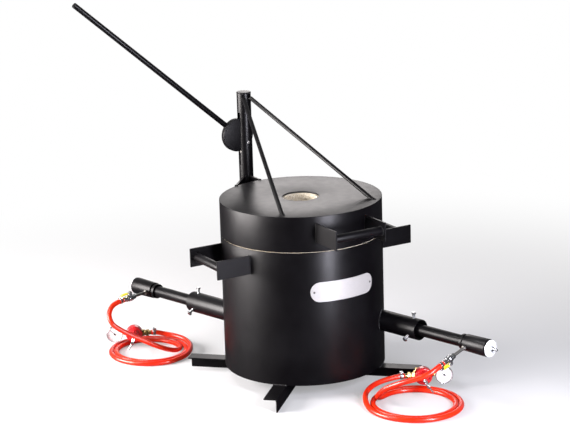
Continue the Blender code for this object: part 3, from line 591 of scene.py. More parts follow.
weld_paint, shader, own = finish_named("paint over weld", Specular_IOR_Level=0.4)
ripple = own.noise(900, 2)
spatter = own.noise(240, 2)
shade = spatter.rise(0.4, 0.65).tint((0.005, 0.005, 0.006), (0.016, 0.015, 0.015))
shade.feed(shader, "Base Color")
(0.26 + ripple * 0.22).feed(shader, "Roughness")
(ripple * 0.5 + spatter * 0.5).bump(shader, 0.0004, 0.6)


def welds(name, body, paths, width=BEAD_WIDTH):
    """Painted weld beads along paths of points, as one piece on its body."""
    curve = bpy.data.curves.new(name, "CURVE")
    curve.dimensions = "3D"
    for path in paths:
        spline = curve.splines.new("POLY")
        spline.points.add(len(path) - 1)
        for knot, point in zip(spline.points, path):
            knot.co = (*point, 1)
    build = grown(name, linked(name, curve), weld_tree,
                  {"Width": width, "Pitch": BEAD_PITCH * width / BEAD_WIDTH,
                   "Skin": weld_paint})
    return piece(name, build, body, "black_paint", weld_paint, sharp=60)


def ring_path(place, radius, start=0.0, sweep=360.0, count=48):
    """Points round a circle in the plane across a place's Z axis."""
    turns = [radians(start + sweep * k / count) for k in range(count + 1)]
    return [place @ Vector((radius * cos(a), radius * sin(a), 0)) for a in turns]


# Legs
# Four lengths of 40 mm angle iron under the base, one flange flat against it and the other
# standing on the floor, saw-cut square at both ends and welded to the drum's wall.
ANGLE_LEG = 0.040
ANGLE_WALL = 0.004
LEG_INNER = 0.100
LEG_OUTER = 0.348
LEG_ROOT = 0.004
LEG_SEAT = 0.0003
RIM_BEND = 0.0006
BEAD_LIFT = 0.0005
LEGS = {"front_left": (-134, -1), "front_right": (-44, -1), "back_right": (46, -1),
        "back_left": (136, 1)}

build = bmesh.new()
leg_paths = []
for name, (direction, side) in LEGS.items():
    seat = -LEG_SEAT
    outline = [(0, seat), (ANGLE_LEG, seat), (ANGLE_LEG, seat - ANGLE_WALL)]
    corner = Vector((ANGLE_WALL, seat - ANGLE_WALL))
    for step in range(6):
        turn = radians(90 * step / 5)
        outline.append((corner.x + LEG_ROOT * (1 - sin(turn)),
                        corner.y - LEG_ROOT * (1 - cos(turn))))
    outline += [(ANGLE_WALL, FLOOR), (0, FLOOR)]
    place = aim((0, 0, 0), heading(direction), heading(direction + 90))
    ends = []
    for reach in (LEG_INNER, LEG_OUTER):
        ends.append([build.verts.new(place @ Vector((x * side, y, reach))) for x, y in outline])
    build.faces.new(ends[0])
    build.faces.new(ends[1])
    for k in range(len(outline)):
        after = (k + 1) % len(outline)
        build.faces.new([ends[0][k], ends[0][after], ends[1][after], ends[1][k]])
    start = heading(direction) * DRUM_RADIUS
    tangent = heading(direction + 90) * side
    leg_paths.append([start + tangent * ANGLE_LEG * k / 6 - start.normalized() * RIM_BEND * k
                      + Vector((0, 0, BEAD_LIFT)) for k in range(7)])
painted("legs", build, "root", ["leg_" + name for name in LEGS], edge=0.0006, sharp=30)
welds("leg_welds", "root", leg_paths)

# Handles
# Three alike: two upright plates welded to the wall, with a round bar between their outer
# ends. One stands at each side of the drum and one at the front of the lid.
HANDLE_PLATE = 0.005
HANDLE_HEIGHT = 0.055
HANDLE_WIDTH = 0.165
HANDLE_REACH = 0.325
HANDLE_BAR_RADIUS = 0.0125
HANDLE_BAR_INSET = 0.021
HANDLE_EDGE = 0.0009
HANDLES = {"left_handle": ("root", 180, 0.320), "right_handle": ("root", 0, 0.320),
           "lid_handle": ("lid", -90, 0.421)}


def box(low, high):
    """A plain block between two opposite corners."""
    build = bmesh.new()
    middle = [(a + b) / 2 for a, b in zip(low, high)]
    size = [b - a for a, b in zip(low, high)]
    bmesh.ops.create_cube(build, size=1, matrix=Matrix.Translation(middle) @ Matrix.Diagonal(
        (*size, 1)))
    return build


def drum_cutter(low, high):
    return bar(DRUM_RADIUS + LINING_GAP, low, high, 0, DRUM_SIDES)


def joined(*builds):
    """Several loose shapes in one bmesh."""
    whole = bmesh.new()
    for build in builds:
        mesh = bpy.data.meshes.new("loose")
        build.to_mesh(mesh)
        build.free()
        whole.from_mesh(mesh)
        bpy.data.meshes.remove(mesh)
    return whole


for name, (body, direction, bottom) in HANDLES.items():
    half = HANDLE_WIDTH / 2
    inside = half - HANDLE_PLATE
    top = bottom + HANDLE_HEIGHT
    middle = bottom + HANDLE_HEIGHT / 2
    wall_at = sqrt(DRUM_RADIUS ** 2 - half ** 2)
    turn = Matrix.Rotation(radians(direction), 4, "Z")
    plates = []
    for low, high in ((inside, half), (-half, -inside)):
        blank = box((wall_at - HANDLE_HEIGHT / 2, low, bottom), (HANDLE_REACH, high, top))
        plates.append(carved(blank, drum_cutter(bottom - PLATE_EDGE, top + PLATE_EDGE)))
    painted(name + "_plates", joined(*plates), body, [name], turn, edge=HANDLE_EDGE)
    along = aim((HANDLE_REACH - HANDLE_BAR_INSET, 0, middle), (0, 1, 0))
    painted(name + "_bar", bar(HANDLE_BAR_RADIUS, -inside, inside, PLATE_EDGE, 64), body,
            place=turn @ along)
    paths = []
    for side in (1, -1):
        for across in (inside, half):
            foot = sqrt(DRUM_RADIUS ** 2 - across ** 2)
            paths.append([turn @ Vector((foot, side * across, bottom + (top - bottom) * k / 10))
                          for k in range(11)])
        at_plate = turn @ along @ Matrix.Translation((0, 0, side * inside))
        paths.append(ring_path(at_plate, HANDLE_BAR_RADIUS))
    welds(name + "_welds", body, paths)

# Name plate
# A blank round-ended plate of brushed aluminium, bent round the drum's front and held by a
# dome-headed rivet near each end.
NAME_PLATE_LENGTH = 0.210
NAME_PLATE_HEIGHT = 0.058
NAME_PLATE_THICKNESS = 0.0015
NAME_PLATE_LEVEL = 0.276
RIVET_INSET = 0.011
RIVET_RADIUS = 0.0031
RIVET_DOME = 0.0014

pale_plate, shader, own = finish_named("brushed pale aluminium", Metallic=0.35)
run = own.node("ShaderNodeUVMap", {"uv_map": "run"})
brushing = run.noise(1, 4, (90, 5200, 0))
smears = run.noise(1, 3, (30, 60, 0))
scratches = run.noise(1, 2, (60, 2400, 0)).rise(0.70, 0.74)
shade = brushing.rise(0.3, 0.7).tint((0.46, 0.45, 0.44), (0.55, 0.54, 0.53))
(scratches * 0.3).tint(shade, (0.32, 0.31, 0.30)).feed(shader, "Base Color")
(0.36 + smears * 0.16 + brushing * 0.08).feed(shader, "Roughness")
(brushing * 0.8 - scratches * 0.4).bump(shader, 0.00008, 0.5)

build = bmesh.new()
run_map = build.loops.layers.uv.new("run")
plate_inner = DRUM_RADIUS + LINING_GAP
plate_outer = plate_inner + NAME_PLATE_THICKNESS
half_height = NAME_PLATE_HEIGHT / 2
straight = NAME_PLATE_LENGTH / 2 - half_height
columns = []
for k in range(1, 20):
    swing = tau / 4 * k / 20
    columns.append((-straight - half_height * cos(swing), half_height * sin(swing)))
columns += [(-straight + 2 * straight * k / 30, half_height) for k in range(31)]
columns += [(-along, height) for along, height in reversed(columns[:19])]
points = {}


def plate_corner(along, height, radius):
    turn = radians(-90) + along / plate_inner
    key = (round(along, 7), round(height, 7), radius)
    if key not in points:
        spot = (radius * cos(turn), radius * sin(turn), NAME_PLATE_LEVEL + height)
        points[key] = build.verts.new(spot)
    return points[key]


def plate_face(corners):
    face = build.faces.new([plate_corner(*corner) for corner in corners])
    for loop, (along, height, _) in zip(face.loops, corners):
        loop[run_map].uv = (along, height)


tip = NAME_PLATE_LENGTH / 2
for end, (s, h) in ((-tip, columns[0]), (tip, columns[-1])):
    for radius in (plate_outer, plate_inner):
        plate_face([(end, 0, radius), (s, h, radius), (s, -h, radius)])
    for height in (h, -h):
        plate_face([(end, 0, plate_outer), (s, height, plate_outer), (s, height, plate_inner),
                    (end, 0, plate_inner)])
for (s, h), (t, g) in zip(columns, columns[1:]):
    for radius in (plate_outer, plate_inner):
        plate_face([(s, h, radius), (t, g, radius), (t, -g, radius), (s, -h, radius)])
    for way in (1, -1):
        plate_face([(s, h * way, plate_outer), (t, g * way, plate_outer),
                    (t, g * way, plate_inner), (s, h * way, plate_inner)])
piece("plate", build, "root", "aluminium", pale_plate, ["name_plate"], edge=0.0003)

rivet_metal, shader, own = finish_named("dull rivet metal", Metallic=0.9)
tarnish = own.noise(700, 3)
tarnish.tint((0.06, 0.055, 0.05), (0.22, 0.21, 0.20)).feed(shader, "Base Color")
(0.34 + tarnish * 0.2).feed(shader, "Roughness")
tarnish.bump(shader, 0.0001, 0.4)

stud_tree, given = geometry_tree("copies at marked places", {"Copy": "Object", "Skin": "Material"})
shape = given["Copy"].node("GeometryNodeObjectInfo", {"transform_space": "ORIGINAL"},
                           {"Object": given["Copy"]})
shape = Flow(stud_tree, shape.socket.node.outputs["Geometry"])
marked = shape.node("GeometryNodeInputNamedAttribute", {"data_type": "FLOAT_VECTOR"},
                    {"Name": "axis"})
marked = Flow(stud_tree, marked.socket.node.outputs["Attribute"])
facing = marked.node("FunctionNodeAlignRotationToVector", {"axis": "Z"}, {"Vector": marked})
placed = shape.node("GeometryNodeInstanceOnPoints", {},
                    {"Points": given["Geometry"], "Instance": shape, "Rotation": facing})
close_tree(stud_tree, placed, given["Skin"])


def repeated(name, pattern, places, body, slot, skin, nodes=(), sharp=38):
    """Copies of one small shape, each at a point and along a direction."""
    mesh = bpy.data.meshes.new(name)
    mesh.from_pydata([point for point, _ in places], [], [])
    marks = mesh.attributes.new("axis", "FLOAT_VECTOR", "POINT")
    for k, (_, direction) in enumerate(places):
        marks.data[k].vector = direction
    shape_mesh = bpy.data.meshes.new(name)
    bmesh.ops.recalc_face_normals(pattern, faces=pattern.faces)
    pattern.to_mesh(shape_mesh)
    pattern.free()
    shape_object = linked(name, shape_mesh)
    build = grown(name, linked(name, mesh), stud_tree,
                  {"Copy": shape_object, "Skin": skin})
    bpy.data.objects.remove(shape_object, do_unlink=True)
    return piece(name, build, body, slot, skin, nodes, sharp=sharp)


dome = [(0, -RIVET_DOME / 2), (RIVET_RADIUS, -RIVET_DOME / 2), (RIVET_RADIUS, RIVET_DOME * 0.2)]
dome += [(RIVET_RADIUS * cos(radians(a)), RIVET_DOME * (0.2 + 0.8 * sin(radians(a))))
         for a in (18, 36, 54, 72)]
dome.append((0, RIVET_DOME))
rivets = []
for side in (-1, 1):
    turn = -90 + side * (tip - RIVET_INSET) / plate_inner * 360 / tau
    rivets.append((heading(turn) * plate_outer + Vector((0, 0, NAME_PLATE_LEVEL)), heading(turn)))
repeated("plate_rivets", turned(dome, 24), rivets, "root", "aluminium", rivet_metal)

# Lid
# A shallow steel drum, closed by a plate with a round vent in its middle and filled with
# the same cast lining, whose bore shows its grit inside the vent.
LID_BOTTOM = 0.3945
LID_TOP = 0.4965
LID_TOP_PLATE = 0.004
VENT_RADIUS = 0.0525
VENT_BORE = 0.048
LID_LINING_BOTTOM = 0.3935
LID_EDGE = 0.0012
BORE_ROWS = 14
COARSE_GRIT = 0.006
FINE_GRIT = 0.0025

top_inside = LID_TOP - LID_TOP_PLATE
outline = [(DRUM_RADIUS, LID_BOTTOM), (DRUM_RADIUS, LID_TOP), (VENT_RADIUS, LID_TOP),
           (VENT_RADIUS, top_inside), (inner, top_inside), (inner, LID_BOTTOM)]
painted("lid_steel", turned(soften(outline, LID_EDGE), DRUM_SIDES), "lid", ["lid_shell"])
outline = [(lining_outer, LID_LINING_BOTTOM), (lining_outer, top_inside - LINING_GAP)]
lid_depth = top_inside - LID_LINING_BOTTOM
outline += [(VENT_BORE, top_inside - LINING_GAP - lid_depth * k / BORE_ROWS)
            for k in range(BORE_ROWS)]
outline.append((VENT_BORE, LID_LINING_BOTTOM))
build = turned(outline, 180)
for point in build.verts:
    spread = Vector((point.co.x, point.co.y, 0))
    if spread.length < VENT_BORE + LINING_EDGE:
        wave = noise.noise(point.co / COARSE_GRIT) + 0.5 * noise.noise(point.co / FINE_GRIT)
        point.co += spread.normalized() * LINING_ROUGHNESS * wave
piece("lid_cast_lining", build, "lid", "refractory", refractory, ["lid_lining"])

# Post
# A round bar behind the drum, welded into two bracket plates. A steel cap turns on its
# top and carries the lifting cam.
POST_OFFSET = 0.317
POST_RADIUS = 0.018
POST_BOTTOM = 0.100
BRACKET_THICKNESS = 0.008
BRACKET_HEIGHT = 0.060
BRACKETS = {"upper": 0.330, "lower": 0.150}
SPIGOT_RADIUS = 0.006
SPIGOT_LENGTH = 0.018

bare_steel, shader, own = finish_named("bare steel", Metallic=1.0)
turning = own.noise(1, 4, (40, 40, 1800))
stain = own.noise(60, 4)
shade = turning.tint((0.36, 0.345, 0.32), (0.56, 0.545, 0.52))
(stain.rise(0.5, 0.75) * 0.5).tint(shade, (0.22, 0.19, 0.16)).feed(shader, "Base Color")
(0.26 + stain * 0.22).feed(shader, "Roughness")
turning.bump(shader, 0.00006, 0.5)

at_post = Matrix.Translation((0, POST_OFFSET, 0))
cap_low, cap_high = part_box("thrust_cap")
cap_bottom = cap_low.z + SPIGOT_LENGTH
painted("post_bar", bar(POST_RADIUS, POST_BOTTOM, cap_bottom - LINING_GAP, PLATE_EDGE, 64),
        "root", ["post"], at_post)
outline = [(0, cap_low.z), (SPIGOT_RADIUS, cap_low.z), (SPIGOT_RADIUS, cap_bottom),
           (POST_RADIUS, cap_bottom), (POST_RADIUS, cap_high.z), (0, cap_high.z)]
piece("turning_cap", turned(soften(outline, PLATE_EDGE), 64), "swivel", "bare_steel", bare_steel,
      ["thrust_cap"], at_post)
plates = []
paths = []
half = BRACKET_THICKNESS / 2
for level in BRACKETS.values():
    low = level - BRACKET_HEIGHT / 2
    high = level + BRACKET_HEIGHT / 2
    blank = box((-half, DRUM_RADIUS - half, low), (half, POST_OFFSET, high))
    sleeve = moved(bar(POST_RADIUS + LINING_GAP, low - half, high + half, 0, 64), at_post)
    plates.append(carved(blank, drum_cutter(low - half, high + half), sleeve))
    for side in (-half, half):
        for foot in (DRUM_RADIUS, POST_OFFSET - POST_RADIUS):
            paths.append([(side, foot, low), (side, foot, high)])
painted("post_brackets", joined(*plates), "root", ["post_bracket_" + name for name in BRACKETS],
        edge=PLATE_EDGE)
welds("post_welds", "root", paths)

# Mast
# A pipe that slides and turns on the post and carries the lid by a web, a slanted brace
# and two stays. It is slotted for the cam, capped, and crossed by the cam's pin.
MAST_RADIUS = 0.0212
MAST_WALL = 0.0026
MAST_BOTTOM = 0.400
MAST_TOP = 0.748
MAST_CAP = 0.003
SLOT_BOTTOM = 0.530
SLOT_TOP = 0.690
BACK_SLOT_BOTTOM = 0.562
BACK_SLOT_TOP = 0.654
SLOT_HALF_WIDTH = 0.0083
CAM_PIVOT = Vector((0, POST_OFFSET, 0.600))
PIN_RADIUS = 0.005
WEB_THICKNESS = 0.007
WEB_HEIGHT = 0.060
WEB_TOP = 0.4985
BRACE_THICKNESS = 0.006
BRACE_FOOT_DIRECTION = 113
BEAD_CLEAR = 0.003
BEAD_INSET = 0.0012
BEAD_CORNER = 0.001

beyond = MAST_RADIUS * 1.5
pin_way = aim(CAM_PIVOT, (0, 1, 0))
mast_bore = MAST_RADIUS - MAST_WALL
mast = carved(
    moved(pipe(MAST_RADIUS, mast_bore, MAST_BOTTOM, MAST_TOP, PLATE_EDGE, 96), at_post),
    moved(box((-beyond, -SLOT_HALF_WIDTH, SLOT_BOTTOM), (0, SLOT_HALF_WIDTH, SLOT_TOP)), at_post),
    moved(box((0, -SLOT_HALF_WIDTH, BACK_SLOT_BOTTOM), (beyond, SLOT_HALF_WIDTH, BACK_SLOT_TOP)),
          at_post),
    moved(bar(PIN_RADIUS + LINING_GAP, -beyond, beyond, 0, 32), pin_way),
)
painted("mast", mast, "lid", ["mast_tube"], edge=0.0004)
cap_start = MAST_TOP + LINING_GAP
painted("mast_top", moved(bar(MAST_RADIUS, cap_start, cap_start + MAST_CAP, 0.001, 96), at_post),
        "lid", ["mast_cap"])
piece("pin", bar(PIN_RADIUS, -MAST_RADIUS, MAST_RADIUS, 0.001, 40), "lid", "bare_steel",
      bare_steel, ["cam_pin"], pin_way)
web_low = WEB_TOP - WEB_HEIGHT


def mast_cutter():
    return moved(bar(MAST_RADIUS + LINING_GAP, web_low - MAST_WALL, WEB_TOP + MAST_WALL, 0, 64),
                 at_post)


def rim_cutter():
    return drum_cutter(web_low - MAST_WALL, WEB_TOP + MAST_WALL)


half = WEB_THICKNESS / 2
web = carved(box((-half, DRUM_RADIUS - half, web_low), (half, POST_OFFSET, WEB_TOP)), rim_cutter(),
             mast_cutter())
painted("lid_web", web, "lid", ["mast_web"], edge=PLATE_EDGE)
foot = heading(BRACE_FOOT_DIRECTION) * DRUM_RADIUS
reach = Vector((0, POST_OFFSET, 0)) - foot
thin = BRACE_THICKNESS / 2
brace = moved(box((-BRACE_THICKNESS * 2, -thin, web_low), (reach.length, thin, WEB_TOP)),
              aim(foot, (0, 0, 1), reach))
painted("lid_brace", carved(brace, rim_cutter(), mast_cutter()), "lid", ["mast_brace"],
        edge=PLATE_EDGE)
web_end = POST_OFFSET - MAST_RADIUS
paths = []
for side in (-half, half):
    paths.append([(side, DRUM_RADIUS, web_low), (side, DRUM_RADIUS, WEB_TOP - BEAD_CLEAR)])
    paths.append([(side, web_end, web_low), (side, web_end, WEB_TOP)])
paths.append([(k * half, DRUM_RADIUS + BEAD_CORNER, WEB_TOP - BEAD_CORNER) for k in (-1, 0, 1)])
across = reach.normalized().cross(Vector((0, 0, 1)))
for side in (-thin, thin):
    at_rim = foot + across * side
    at_mast = Vector((0, POST_OFFSET, 0)) - reach.normalized() * MAST_RADIUS + across * side
    for spot in (at_rim, at_mast):
        paths.append([spot + Vector((0, 0, web_low)), spot + Vector((0, 0, WEB_TOP))])
paths.append(ring_path(at_post @ Matrix.Translation((0, 0, cap_start)), MAST_RADIUS - BEAD_INSET))
welds("mast_welds", "lid", paths, BEAD_WIDTH * 0.85)

# Stays
# Two round bars from the lid's top up to the mast's head, welded at both ends. Their heads
# are cut square.
STAY_RADIUS = 0.006
STAY_FOOT_RADIUS = 0.210
STAYS = {"left": (-135, -120), "right": (-45, -72)}
STAY_HEAD_LEVEL = 0.735
FOOT_BEAD_LIFT = 0.0004
HEAD_BEAD = (0.001, 0.008, 0.016)

paths = []
for name, (foot_way, head_way) in STAYS.items():
    foot = heading(foot_way) * STAY_FOOT_RADIUS + Vector((0, 0, LID_TOP))
    stand = MAST_RADIUS + STAY_RADIUS + LINING_GAP
    head = heading(head_way) * stand + Vector((0, POST_OFFSET, STAY_HEAD_LEVEL))
    run_up = head - foot
    rod = moved(bar(STAY_RADIUS, -STAY_RADIUS * 2, run_up.length, 0.0005, 48), aim(foot, run_up))
    under = box((-DRUM_RADIUS, -DRUM_RADIUS, LID_BOTTOM),
                (DRUM_RADIUS, DRUM_RADIUS, LID_TOP + LINING_GAP))
    painted("lid_stay_" + name, carved(rod, under), "lid", ["stay_" + name])
    slope = run_up.normalized()
    long_way = Vector((slope.x, slope.y, 0)).normalized()
    stretch = 1 / slope.z
    at_foot = aim(foot + Vector((0, 0, FOOT_BEAD_LIFT)), (0, 0, 1), long_way)
    paths.append([at_foot @ Vector((STAY_RADIUS * stretch * cos(radians(a)),
                                    STAY_RADIUS * 1.05 * sin(radians(a)), 0))
                  for a in range(0, 361, 15)])
    contact = heading(head_way) * MAST_RADIUS + Vector((0, POST_OFFSET, STAY_HEAD_LEVEL))
    beside = heading(head_way + 90) * STAY_RADIUS * 0.75
    for side in (-1, 1):
        paths.append([contact + beside * side - slope * s for s in HEAD_BEAD])
welds("stay_welds", "lid", paths, BEAD_WIDTH * 0.9)

# Lever
# A thick steel disc on an off-centre pin, with a long round bar welded to its rim. Pulled
# down, the bar turns the disc on the post's cap and lifts the lid.
CAM_RADIUS = 0.050
CAM_THICKNESS = 0.015
CAM_ECCENTRICITY = 0.035
LEVER_ANGLE = 41.3
LEVER_RADIUS = 0.008
LEVER_REACH = 0.679
CAM_EDGE = 0.0014
LEVER_EDGE = 0.0012

tilt = radians(LEVER_ANGLE)
lever_way = Vector((-cos(tilt), 0, sin(tilt)))
cam_centre = CAM_PIVOT + lever_way * CAM_ECCENTRICITY
half = CAM_THICKNESS / 2
disc = carved(moved(bar(CAM_RADIUS, -half, half, CAM_EDGE, 144), aim(cam_centre, (0, 1, 0))),
              moved(bar(PIN_RADIUS + LINING_GAP, -beyond, beyond, 0, 40), pin_way))
painted("cam", disc, "lever", ["cam_disc"])
lever_line = aim(cam_centre, lever_way)
painted("lever", bar(LEVER_RADIUS, CAM_RADIUS, LEVER_REACH, LEVER_EDGE, 64), "lever",
        ["lever_rod"], lever_line)
lever_foot = lever_line @ Matrix.Translation((0, 0, CAM_RADIUS + PLATE_EDGE))
welds("lever_weld", "lever", [ring_path(lever_foot, LEVER_RADIUS)])

# Burner holders
# Two pipes welded to the drum at a slant, so that the flames swirl. Bright plated screws
# through each pipe's end clamp the burner in it.
HOLDER_RADIUS = 0.03015
HOLDER_WALL = 0.0029
HOLDER_END = 0.354
SCREW_STATION = 0.329
SCREW_RADIUS = 0.004
SCREW_PITCH = 0.00125
SCREW_HEAD_RADIUS = 0.0072
SCREW_HEAD = 0.0055
SCREW_STAND_OFF = 0.013
SCREW_LOW_ANGLE = 30
TUBE_RADIUS = 0.01685
SADDLE_STEPS = 72
THREAD_ROOT = 0.86
THREAD_FLANK = 0.38

zinc, shader, own = finish_named("bright zinc plating", Metallic=1.0)
bloom = own.noise(260, 4)
spangle = own.noise(1100, 2)
shade = bloom.tint((0.60, 0.62, 0.64), (0.84, 0.85, 0.86))
(bloom.rise(0.62, 0.8) * 0.4).tint(shade, (0.55, 0.52, 0.42)).feed(shader, "Base Color")
(0.16 + spangle * 0.14 + bloom * 0.08).feed(shader, "Roughness")
spangle.bump(shader, 0.00006, 0.5)


def thread(radius, start, end, pitch):
    """An outline's run of thread ridges, from start to end."""
    count = max(1, int((end - start) / pitch))
    run_out = []
    for k in range(count):
        low = start + (end - start) * k / count
        run_out += [(radius * THREAD_ROOT, low), (radius, low + pitch * THREAD_FLANK),
                    (radius, low + pitch * (1 - THREAD_FLANK))]
    run_out.append((radius * THREAD_ROOT, end))
    return run_out


def hexagon(radius, start, end, bore=0.0, chamfer=0.12):
    """A nut or screw head along Z, its corners chamfered; radius is to the corners."""
    slope = radius * chamfer
    outline = [(bore, start), (radius * (1 - chamfer), start), (radius, start + slope),
               (radius, end - slope), (radius * (1 - chamfer), end), (bore, end)]
    return turned(outline, 6)


head_start = HOLDER_RADIUS + SCREW_STAND_OFF
shank = [(0, TUBE_RADIUS + LINING_GAP)]
shank += thread(SCREW_RADIUS, TUBE_RADIUS + LINING_GAP, head_start + LINING_GAP, SCREW_PITCH)
shank.append((0, head_start + LINING_GAP))
screws = []
paths = []
for burner in burners:
    holder = moved(pipe(HOLDER_RADIUS, HOLDER_RADIUS - HOLDER_WALL, chamber, HOLDER_END,
                        PLATE_EDGE, 96), burner.line)
    painted(burner.named("holder"), carved(holder, drum_cutter(0, DRUM_HEIGHT)), "root",
            [burner.named("burner_holder")])
    station = burner.at(SCREW_STATION)
    for outward in (Vector((0, 0, 1)), heading(BURNER_DIRECTION - 90, SCREW_LOW_ANGLE)):
        screws.append((station, outward))
    saddle = []
    for k in range(SADDLE_STEPS + 1):
        turn = tau * k / SADDLE_STEPS
        offset = burner.line @ Vector((HOLDER_RADIUS * cos(turn), HOLDER_RADIUS * sin(turn), 0))
        flat = Vector((offset.x, offset.y, 0))
        lead = flat.dot(burner.axis)
        travel = -lead + sqrt(lead ** 2 - flat.length_squared + DRUM_RADIUS ** 2)
        spot = flat + burner.axis * travel
        saddle.append((spot.x, spot.y, offset.z))
    paths.append(saddle)
repeated("set_screws", joined(turned(shank, 24),
                              hexagon(SCREW_HEAD_RADIUS, head_start, head_start + SCREW_HEAD)),
         screws, "root", "zinc", zinc,
         [burner.named("set_screw_" + k) for burner in burners for k in ("top", "low")])
welds("holder_welds", "root", paths, BEAD_WIDTH * 1.1)

# Burners
# A painted pipe slipped into the holder, with a bell for the air on its outer end. The bell
# has a cut groove near its neck and a plain round mouth.
TUBE_WALL = 0.0029
TUBE_START = 0.150
TUBE_SOCKET = 0.012
BELL_START = 0.511
BELL_END = 0.605
BELL_NECK_RADIUS = 0.0222
BELL_NECK = 0.010
BELL_GROOVE_RADIUS = 0.0200
BELL_GROOVE = 0.004
BELL_BODY_RADIUS = 0.0240
BELL_MOUTH_RADIUS = 0.0255
BELL_WALL = 0.003
JET_RADIUS = 0.0045
VALVE_START = 0.072

for burner in burners:
    tube_end = BELL_START + TUBE_SOCKET
    bore = TUBE_RADIUS - TUBE_WALL
    tube_pipe = pipe(TUBE_RADIUS, bore, TUBE_START, tube_end - LINING_GAP, PLATE_EDGE, 80)
    painted(burner.named("tube"), tube_pipe, "root", [burner.named("burner_tube")], burner.line)
    socket = TUBE_RADIUS + LINING_GAP
    neck = BELL_START + BELL_NECK
    groove = neck + BELL_GROOVE
    outline = [(socket, BELL_START), (BELL_NECK_RADIUS, BELL_START), (BELL_NECK_RADIUS, neck),
               (BELL_GROOVE_RADIUS, neck), (BELL_GROOVE_RADIUS, groove),
               (BELL_BODY_RADIUS, groove), (BELL_MOUTH_RADIUS, BELL_END),
               (BELL_MOUTH_RADIUS - BELL_WALL, BELL_END),
               (BELL_BODY_RADIUS - BELL_WALL, groove + BELL_NECK), (bore, tube_end),
               (socket, tube_end)]
    bell = moved(turned(soften(outline, PLATE_EDGE), 96), burner.line)
    jet_line = aim(burner.jet_root, burner.jet, burner.axis)
    bell = carved(bell, moved(bar(JET_RADIUS + LINING_GAP, 0, VALVE_START, 0, 32), jet_line))
    painted(burner.named("bell"), bell, "root", [burner.named("burner_bell")])

# Jet pipes and chokes
# A thin steel pipe crosses each bell, with a locknut where it enters. A plated disc on a
# threaded stud screws in and out in front of the mouth to set the air.
JET_COLLAR_RADIUS = 0.0075
JET_COLLAR = 0.006
JET_COLLAR_START = 0.0262
STUD_RADIUS = 0.004
STUD_END = 0.634
STUD_PITCH = 0.0016
CHOKE_RADIUS = 0.025
CHOKE_THICKNESS = 0.003
CHOKE_PLACE = 0.609
CHOKE_NUT_RADIUS = 0.0075
CHOKE_NUT = 0.0065

white_zinc, shader, own = finish_named("passivated zinc disc", Metallic=0.45)
bloom = own.noise(90, 4)
faint = own.noise(1500, 2)
bloom.tint((0.74, 0.77, 0.80), (0.92, 0.93, 0.94)).feed(shader, "Base Color")
(0.30 + faint * 0.14).feed(shader, "Roughness")
faint.bump(shader, 0.00005, 0.4)

for burner in burners:
    jet_line = aim(burner.jet_root, burner.jet, burner.axis)
    jet_end = VALVE_START - LINING_GAP
    lower = [(0, -JET_RADIUS), (JET_RADIUS, -JET_RADIUS), (JET_RADIUS, jet_end), (0, jet_end)]
    collar = hexagon(JET_COLLAR_RADIUS, JET_COLLAR_START, JET_COLLAR_START + JET_COLLAR, JET_RADIUS)
    piece(burner.named("jet"), joined(turned(soften(lower, 0.0006), 40), collar), "root",
          "bare_steel", bare_steel, [burner.named("jet_pipe")], jet_line)
    stud_start = JET_STATION + JET_RADIUS + LINING_GAP
    outline = [(0, stud_start), *thread(STUD_RADIUS, stud_start, STUD_END - 0.0008, STUD_PITCH),
               (STUD_RADIUS * 0.7, STUD_END), (0, STUD_END)]
    piece(burner.named("stud"), turned(outline, 24), "root", "zinc", zinc,
          [burner.named("choke_stud")], burner.line)
    back = CHOKE_PLACE + CHOKE_THICKNESS
    bore = STUD_RADIUS + LINING_GAP
    face = pipe(CHOKE_RADIUS, bore, CHOKE_PLACE, back, 0.0007, 96)
    piece(burner.named("choke"), face, burner.named("choke"), "zinc", white_zinc,
          [burner.named("choke_disc")], burner.line)
    nut = hexagon(CHOKE_NUT_RADIUS, back, back + CHOKE_NUT, bore)
    piece(burner.named("choke_nut"), nut, burner.named("choke"), "zinc", zinc, place=burner.line)

# Ball valves
# Small plated valves between jet pipe and hose: a hexagon, a round barrel and a tail, with
# a stem, a gland nut and a lever dipped in yellow vinyl.
VALVE_NUT = 0.009
VALVE_NUT_RADIUS = 0.0085
VALVE_BODY_RADIUS = 0.0105
VALVE_BODY = 0.024
VALVE_END_NUT = 0.006
VALVE_SLOPE = 0.003
VALVE_TAIL_RADIUS = 0.0075
STEM_STATION = 0.090
STEM_RADIUS = 0.006
STEM_HEIGHT = 0.0142
STEM_PIN_RADIUS = 0.003
STEM_NUT_RADIUS = 0.0052
STEM_NUT = 0.003
VALVE_LEVER_THICKNESS = 0.0025
VALVE_LEVER_WIDTH = 0.010
VALVE_LEVER_LENGTH = 0.036
GRIP_THICKNESS = 0.0042
GRIP_START = 0.010
GRIP_COVER = 0.0006
GRIP_ROUND = 0.0017
STEM_SIDES = {"right": -1, "left": 1}

vinyl, shader, own = finish_named("dipped yellow vinyl", Coat_Weight=0.3, Coat_Roughness=0.2)
sag = own.noise(140, 3)
sag.tint((0.80, 0.66, 0.010), (0.92, 0.80, 0.030)).feed(shader, "Base Color")
(0.34 + sag * 0.14).feed(shader, "Roughness")
(sag * 0.7 + own.noise(900, 1) * 0.3).bump(shader, 0.0003, 0.4)

